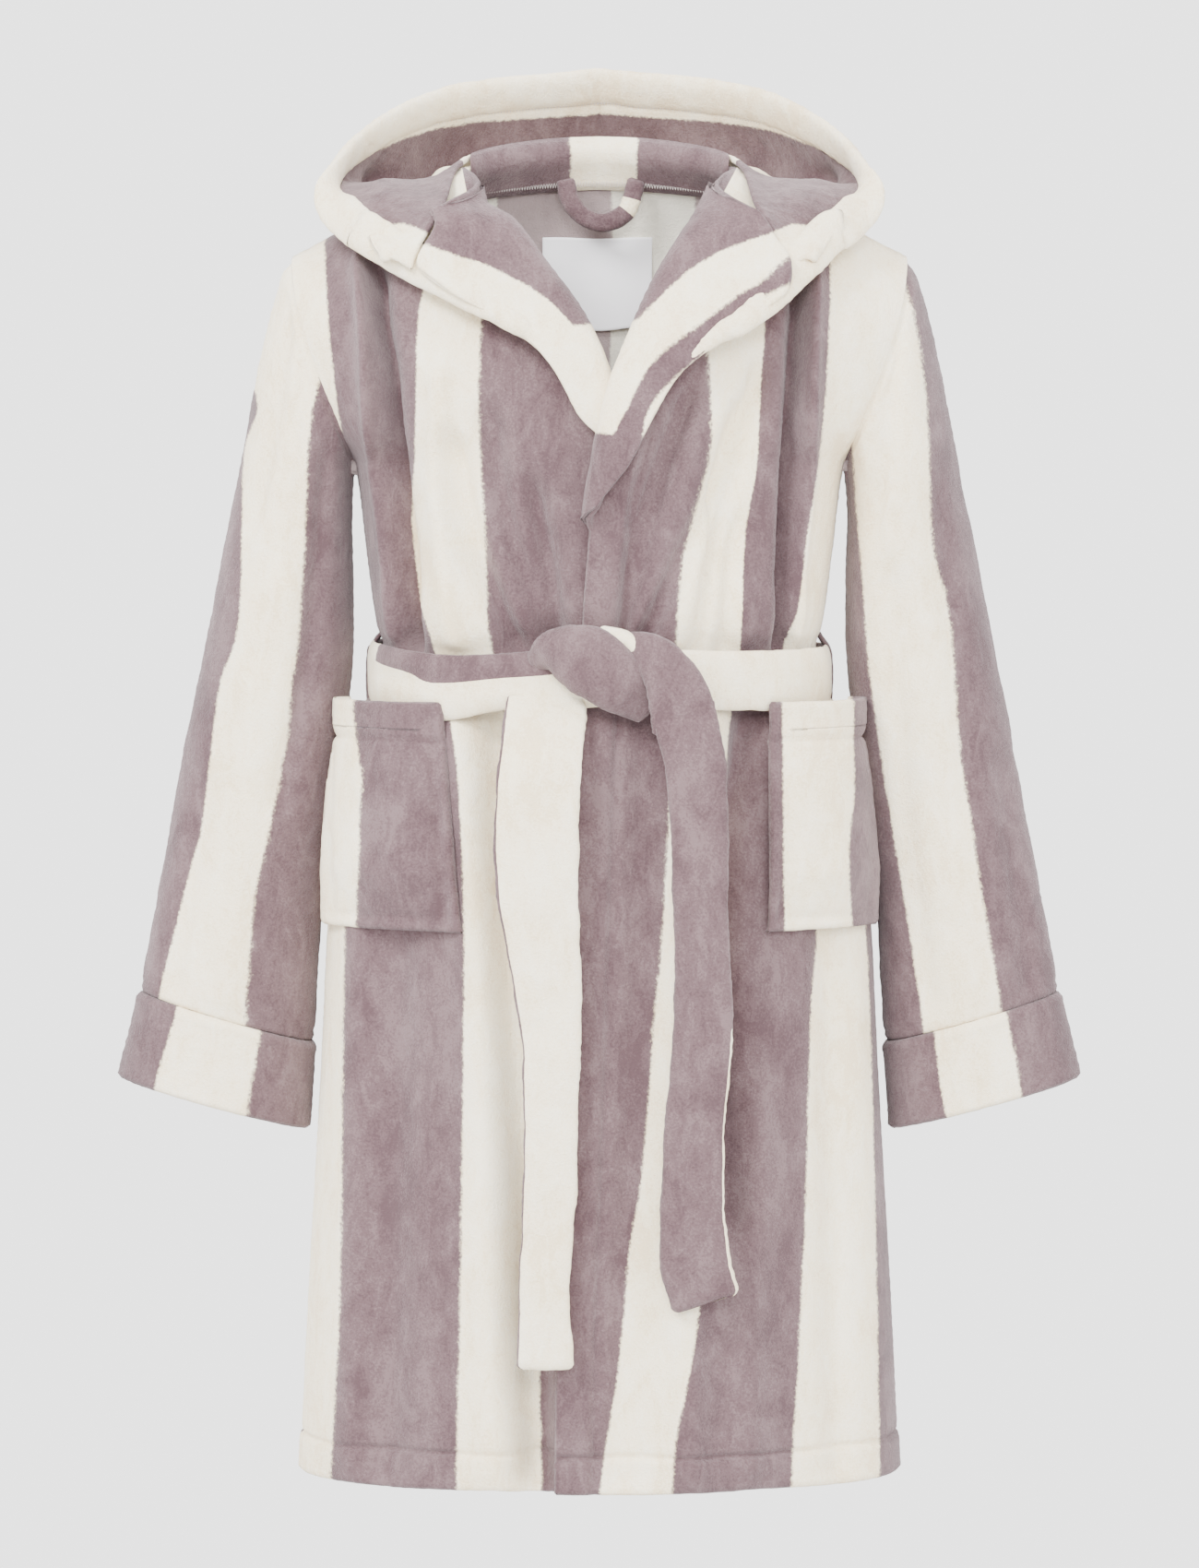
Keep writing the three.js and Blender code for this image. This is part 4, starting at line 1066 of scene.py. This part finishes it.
def brim_path(side):
    """Middle line of the brim, from the lapel's end round to the middle of the back, and the direction of its
    width."""
    around = np.linspace(HOOD_FRONT, 1, 150)
    rim = hood_surface(side, around, np.ones(150))
    rim_direction = unit(rim - hood_surface(side, around, np.full(150, 0.86)))
    rim_line = rim - rim_direction * (BRIM_WIDTH * 0.36)
    edge, roll = LAPEL_LINES[side]
    rows = np.where((edge[:, 2] < -64) & (edge[:, 2] > -142))[0][::-2]
    lapel_end = edge[rows] + unit(roll[rows] - edge[rows]) * 5.0 + np.array([0.0, -5.0, 0.0])
    past_middle = rim_line[-1].copy()
    past_middle[0] = -side * 4.0
    path = catmull(np.vstack([lapel_end[:-2:2], rim_line[10::6], past_middle]), BRIM_SAMPLES)
    gaps = np.linalg.norm(path[:, None] - rim_line[None], axis=2)
    corner = gaps[:, 10].argmin()
    tangent = unit(np.gradient(path, axis=0))
    flat_direction = np.stack([tangent[:, 2], np.zeros(BRIM_SAMPLES), -tangent[:, 0]], axis=1) * side
    turn_in = smooth((np.arange(BRIM_SAMPLES) - corner - 8) / 60.0)[:, None]
    return path, unit(mix(flat_direction, rim_direction[np.maximum(gaps.argmin(axis=1), 30)], turn_in))


def build_hood(side):
    name = SIDE_NAMES[side]
    grid, a, t = hood_grid(side)
    half = cloth(f"hood_{name}_half_cloth", grid, hood_stripe(grid, a, t), outward=-side, fuzz=0.9,
                 materials=[PLUSH, PLUSH])
    finish_piece(half, f"hood_{name}_half", hood_blend(side))
    path, direction = brim_path(side)
    along = np.linspace(0, 1, BRIM_SAMPLES)
    width = BRIM_WIDTH * mix(0.34, 1.0, smooth((along - 0.04) / 0.26))
    thick = BRIM_THICK * mix(0.35, 1.0, smooth(along / 0.16)) + 1.5 * np.sin(along * 9) * smooth(along / 0.3)
    brim = tube(f"hood_{name}_brim_hem", path, width, thick, direction, plain(IN_CREAM), around=28, power=2.2,
                lumps=0.9)
    finish_piece(brim, f"hood_{name}_brim", hood_blend(side))
    raw_edge = path - direction * (BRIM_WIDTH * 0.46) + np.array([0.0, -4.6, 0.0])
    stitches = overlock(f"hood_{name}_overlock", raw_edge[130:], 4.0, 2.2, 0.5, up=(0.0, -0.2, 0.98))
    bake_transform(stitches)


# ---------------------------------------------------------------- pockets


POCKET_TOP, POCKET_BOTTOM = -349.0, -500.0
POCKET_HEM = 26.0
POCKET_INNER = {-1: (102.0, 91.0), 1: (110.0, 111.0)}    # x of the inner edge at the top and at the bottom
POCKET_STRIPES = {
    -1: stripes_by_x([
        [(-345, -210), (-500, -214)], [(-345, -166), (-372, -164), (-400, -160), (-430, -161), (-500, -164)],
        [(-345, -60), (-500, -60)],
    ], 1),
    1: stripes_by_x([
        [(-345, 60), (-500, 60)], [(-345, 122), (-500, 124)],
        [(-345, 171), (-410, 171), (-450, 167), (-500, 170)],
        [(-345, 230), (-500, 230)],
    ], 0),
}


def build_pocket(side):
    name = SIDE_NAMES[side]
    v, u = np.meshgrid(np.linspace(0, 1, 70), np.linspace(0, 1, 60), indexing="ij")
    z = mix(POCKET_TOP, POCKET_BOTTOM, v)
    x = mix(mix(176.0, 184.0, v), mix(*POCKET_INNER[side], v), u)
    x = np.minimum(x, half_width(np.minimum(z, -372)) - 3)
    lift = 0 if side < 0 else lap_lift(x)
    flat = np.stack([side * x, -body_depth(x, np.minimum(z, -368), front_depth) - lift, z], axis=2)
    belly = np.sin(u * math.pi) ** 0.5 * np.minimum(1, (1 - v) * 4)
    border = np.minimum(np.minimum(u, 1 - u) * 75, (1 - v) * 150)
    hem_line = POCKET_TOP - POCKET_HEM
    reach = 6.0 + 11.0 * belly + 1.6 * MID_RUMPLE(flat)
    reach += 1.8 * bell(border - 2.0, 3.0) - 1.5 * bell(border - 8, 2.5)
    reach += -2.4 * bell(z - hem_line, 2.2) + 1.2 * smooth((z - hem_line) / 3)
    grid = flat + grid_normals(flat) * side * reach[..., None]
    stripe = POCKET_STRIPES[side](grid[..., 0], z)
    pocket = cloth(f"{name}_pocket_patch", grid, stripe, outward=side, thickness=4.5, fuzz=0.7)
    finish_piece(pocket, f"{name}_pocket", "root")


# ---------------------------------------------------------------- label and loop


LABEL_SIDES, LABEL_TOP, LABEL_BOTTOM = (-39.0, 36.0), -37.0, -99.0


def build_label():
    v, u = np.meshgrid(np.linspace(0, 1, 40), np.linspace(0, 1, 50), indexing="ij")
    x = mix(*LABEL_SIDES, u)
    z = mix(LABEL_TOP, LABEL_BOTTOM, v) + 1.3 * np.sin(u * 8.0 + 0.6) * (0.4 + 0.6 * v)
    y = body_depth(x, z, back_depth) - CLOTH - 2.0 - 1.2 * np.sin(u * 9 + 1) * smooth(v / 0.3) - 2.2 * smooth(v)
    label = cloth("neck_label_blank", np.stack([x, y, z], axis=2), np.full(x.shape, IN_MAUVE), outward=-1,
                  thickness=0.7, fuzz=0.0, materials=[LABEL, LABEL])
    finish_piece(label, "neck_label", "root")


def build_hanging_loop():
    lowest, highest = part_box("hanging_loop")
    y = (lowest[1] + highest[1]) / 2 / MM
    path = catmull([
        (-23, y, 1), (-20, y - 1, -12), (-8, y - 2, -24), (6, y - 2, -26), (19, y - 1, -18), (25, y, 1),
    ], 60)
    side = np.stack([np.gradient(path[:, 2]), np.zeros(60), -np.gradient(path[:, 0])], axis=1)

    def cream_patch(_, along):
        return mix(IN_MAUVE, IN_CREAM, bell(along - 0.80, 0.075))

    loop = tube("hanging_loop_strip", path, 13.0, 8.0, side, cream_patch, power=2.2, lumps=0.5)
    finish_piece(loop, "hanging_loop", "hanging_loop")


# ---------------------------------------------------------------- belt

BELT_SIDE, BELT_FRONT, BELT_BACK = 147.0, 88.0 + LAP_LIFT, 92.0
BAND_ROWS, BAND_AROUND = 260, 28
KNOT_Y = -(BELT_FRONT + 12.0)
band_height = track([(-155, 44), (-120, 46), (-60, 38), (-30, 40), (30, 40), (90, 40), (150, 42)])
band_centre = track([(-155, -332), (-110, -338), (-60, -333), (0, -330), (60, -332), (150, -334)])


def belt_path(angles, grow):
    c, s = np.cos(angles), np.sin(angles)
    depth = np.where(s < 0, BELT_FRONT, BELT_BACK) + grow
    return (BELT_SIDE + grow) * power_of(c, 2 / SECTION_POWER), depth * power_of(s, 2 / SECTION_POWER)


def build_waistband():
    """The band round the waist. Right of the knot it is creased along its length, mauve above the crease."""
    x, y = belt_path(np.linspace(0, 2 * math.pi, BAND_ROWS, endpoint=False), 6.5)
    angle = np.linspace(0, 2 * math.pi, BAND_AROUND, endpoint=False)
    up, out = power_of(np.sin(angle), 0.8)[None, :], np.cos(angle)[None, :]
    radial = unit(np.stack([np.gradient(y), -np.gradient(x)], axis=1))
    creased = (smooth((-y - 20) / 40) * smooth(-x / 40))[:, None]
    crease_at = mix(0.30, 0.05, smooth((x + 150) / 110))[:, None]
    proud = 4.5 * out * (1 + 0.25 * bell(up + 0.5, 0.5) * creased)
    proud = proud - 3.2 * creased * bell(up - crease_at, 0.10) * (out > 0)
    z = band_centre(x)[:, None] + up * band_height(x)[:, None] / 2
    grid = np.stack([x[:, None] + radial[:, :1] * proud, y[:, None] + radial[:, 1:] * proud, z], axis=2)
    normals, turn = outward_normals(grid)
    grid = grid + normals * (0.5 * FUZZ(grid) + 0.9 * MID_RUMPLE(grid))[..., None]
    mauve_part = np.maximum(smooth((up - crease_at) / 0.08) * creased, smooth(-out / 0.2))
    index = np.pad(np.arange(BAND_ROWS * BAND_AROUND).reshape(BAND_ROWS, -1), ((0, 1), (0, 1)), mode="wrap")
    faces = [quad for a, b in zip(index[:-1], index[1:]) for quad in strip_faces(a, b, turn)]
    stripe = mix(IN_CREAM, IN_MAUVE, mauve_part)
    attributes = {"stripe": stripe.ravel(), "inside": np.zeros(stripe.size)}
    band = make_object("belt_waistband_tube", grid.reshape(-1, 3), faces, attributes, [PLUSH])
    finish_piece(band, "belt_waistband", "root")


def across_front(path):
    """Direction of a band's width where it lies flat against the front."""
    return np.cross(np.gradient(path, axis=0), (0.0, -1.0, 0.0))


def build_knot():
    """The turn that crosses over the knot, the band's edge above it, and the band that falls behind it."""
    y = KNOT_Y
    along = np.linspace(0, 1, 60)
    path = catmull([
        (-44, y + 6, -318), (-30, y - 5, -313), (-8, y - 12, -318), (14, y - 10, -334), (31, y - 1, -350),
    ], 60)
    width = track([(0, 12), (0.2, 33), (0.45, 46), (0.75, 40), (1, 24)])(along)
    thick = track([(0, 8), (0.3, 17), (0.6, 19), (1, 12)])(along)
    knot = tube("belt_knot_turn", path, width, thick, across_front(path), plain(IN_MAUVE), around=30, power=2.1,
                lumps=1.4)
    path = catmull([(2, y - 6, -300), (18, y - 9, -304), (27, y - 9, -314), (32, y - 5, -326)], 30)
    edge = tube("belt_knot_edge", path, 11, 9, (1.0, 0.0, 0.6), plain(IN_CREAM), around=16, power=2.0, lumps=0.5)
    path = catmull([
        (12, y - 1, -311), (27, y - 9, -311), (40, y - 14, -319), (49, y - 16, -333), (54, y - 18, -348),
        (56, y - 19, -362),
    ], 60)
    width = track([(0, 18), (0.25, 27), (0.5, 34), (0.8, 42), (1, 43)])(along)
    thick = track([(0, 8), (0.3, 13), (0.7, 11), (1, 7)])(along)
    fall = tube("belt_knot_fall", path, width, thick, across_front(path), plain(IN_MAUVE), around=30, power=2.4,
                lumps=0.8)
    for part in (edge, fall):
        part.parent = knot
    finish_piece(knot, "belt_knot", "root")


# Each tail by stations of height, x, y and half width, with the x of its bend in metres and its flat length.
TAILS = {
    -1: ([(-343, -36, -107, 26), (-352, -36, -111, 27), (-362, -37, -118, 27), (-376, -38, -127, 27.5),
          (-393, -40, -133, 28), (-430, -42, -136, 28), (-470, -41, -136, 27), (-500, -38, -135, 25),
          (-540, -34, -134, 22), (-580, -32, -134, 19), (-620, -32, -134, 18), (-660, -33, -134, 18),
          (-700, -35, -134, 17), (-740, -37, -134, 17), (-786, -36, -134, 19)], -0.037, 0.45),
    1: ([(-350, 55, -129, 21), (-366, 59, -131, 21), (-390, 64, -134, 20.5), (-430, 66, -136, 19),
         (-470, 67, -136, 18.5), (-510, 68, -135, 18.5), (-550, 69, -134, 19), (-590, 67, -134, 20),
         (-630, 63, -134, 20), (-680, 62, -134, 21), (-720, 64, -134, 23), (-742, 70, -134, 23)], 0.055, 0.41),
}


def build_tail(side):
    name = f"{SIDE_NAMES[side]}_belt_end"
    stations, bend_x, length = TAILS[side]
    fine = np.linspace(0, 1, 170)
    keys = np.linspace(0, 1, len(stations))
    z, x, y, half = (track(list(zip(keys, column)))(fine) for column in zip(*stations))
    face, other = (IN_CREAM, IN_MAUVE) if side < 0 else (IN_MAUVE, IN_CREAM)

    def edge_stripe(angle, along):
        """The other colour shows along one edge, on the left tail only in its lower half."""
        show = smooth((side * np.cos(angle) - 0.86) / 0.08)
        if side > 0:
            show = show * smooth((along - 0.52) / 0.1)
        return mix(face, other, show)

    thick = 10.5 * mix(0.55, 1.0, smooth(fine / 0.08))
    tail = tube(f"{name}_tube", np.stack([x, y, z], axis=1), half * 2, thick, (1.0, 0.0, 0.0), edge_stripe,
                around=40, power=3.0, lumps=2.4)
    bend = ("root", name, (bend_x, -0.13, -0.352), (bend_x, -0.13, -0.400))
    finish_piece(tail, name, bend)


def build_belt_loop(side):
    name = f"{SIDE_NAMES[side]}_belt_loop"
    stations = [
        (149, -306), (152.5, -311), (156.5, -318), (157.5, -334), (157, -350), (157.5, -357), (161, -364),
    ]
    path = catmull([(side * x, 4.0, z) for x, z in stations], 50)
    loop = tube(f"{name}_strip", path, 10.0, 3.4, (0.0, 1.0, 0.0), plain(IN_MAUVE), around=16, power=2.4,
                lumps=0.3)
    finish_piece(loop, name, "root")


# ---------------------------------------------------------------- build everything

build_back()
for wearer_side in SIDE_NAMES:
    build_front(wearer_side)
for wearer_side in SIDE_NAMES:
    build_hood(wearer_side)
for wearer_side in SIDE_NAMES:
    build_sleeve(wearer_side)
    build_pocket(wearer_side)
    build_belt_loop(wearer_side)
build_label()
build_hanging_loop()
build_waistband()
build_knot()
for wearer_side in SIDE_NAMES:
    build_tail(wearer_side)

# ---------------------------------------------------------------- light


def add_light(name, place, target, size, power):
    data = bpy.data.lights.new(name, "AREA")
    data.size = size
    data.energy = power
    light = bpy.data.objects.new(name, data)
    light.location = place
    light.rotation_euler = (Vector(target) - Vector(place)).to_track_quat("-Z", "Y").to_euler()
    bpy.context.scene.collection.objects.link(light)


def add_world():
    world = bpy.data.worlds.new("world")
    bpy.context.scene.world = world
    world.use_nodes = True
    world.node_tree.nodes["Background"].inputs["Color"].default_value = (1.0, 1.0, 1.0, 1.0)
    world.node_tree.nodes["Background"].inputs["Strength"].default_value = 2.9


add_world()
add_light("key", (-1.9, -2.6, 2.2), (0, 0, -0.35), 1.2, 225)
add_light("fill", (2.2, -2.6, 1.2), (0, 0, -0.35), 2.0, 55)
add_light("front", (0.1, -4.4, 1.3), (0, 0, -0.2), 1.2, 160)
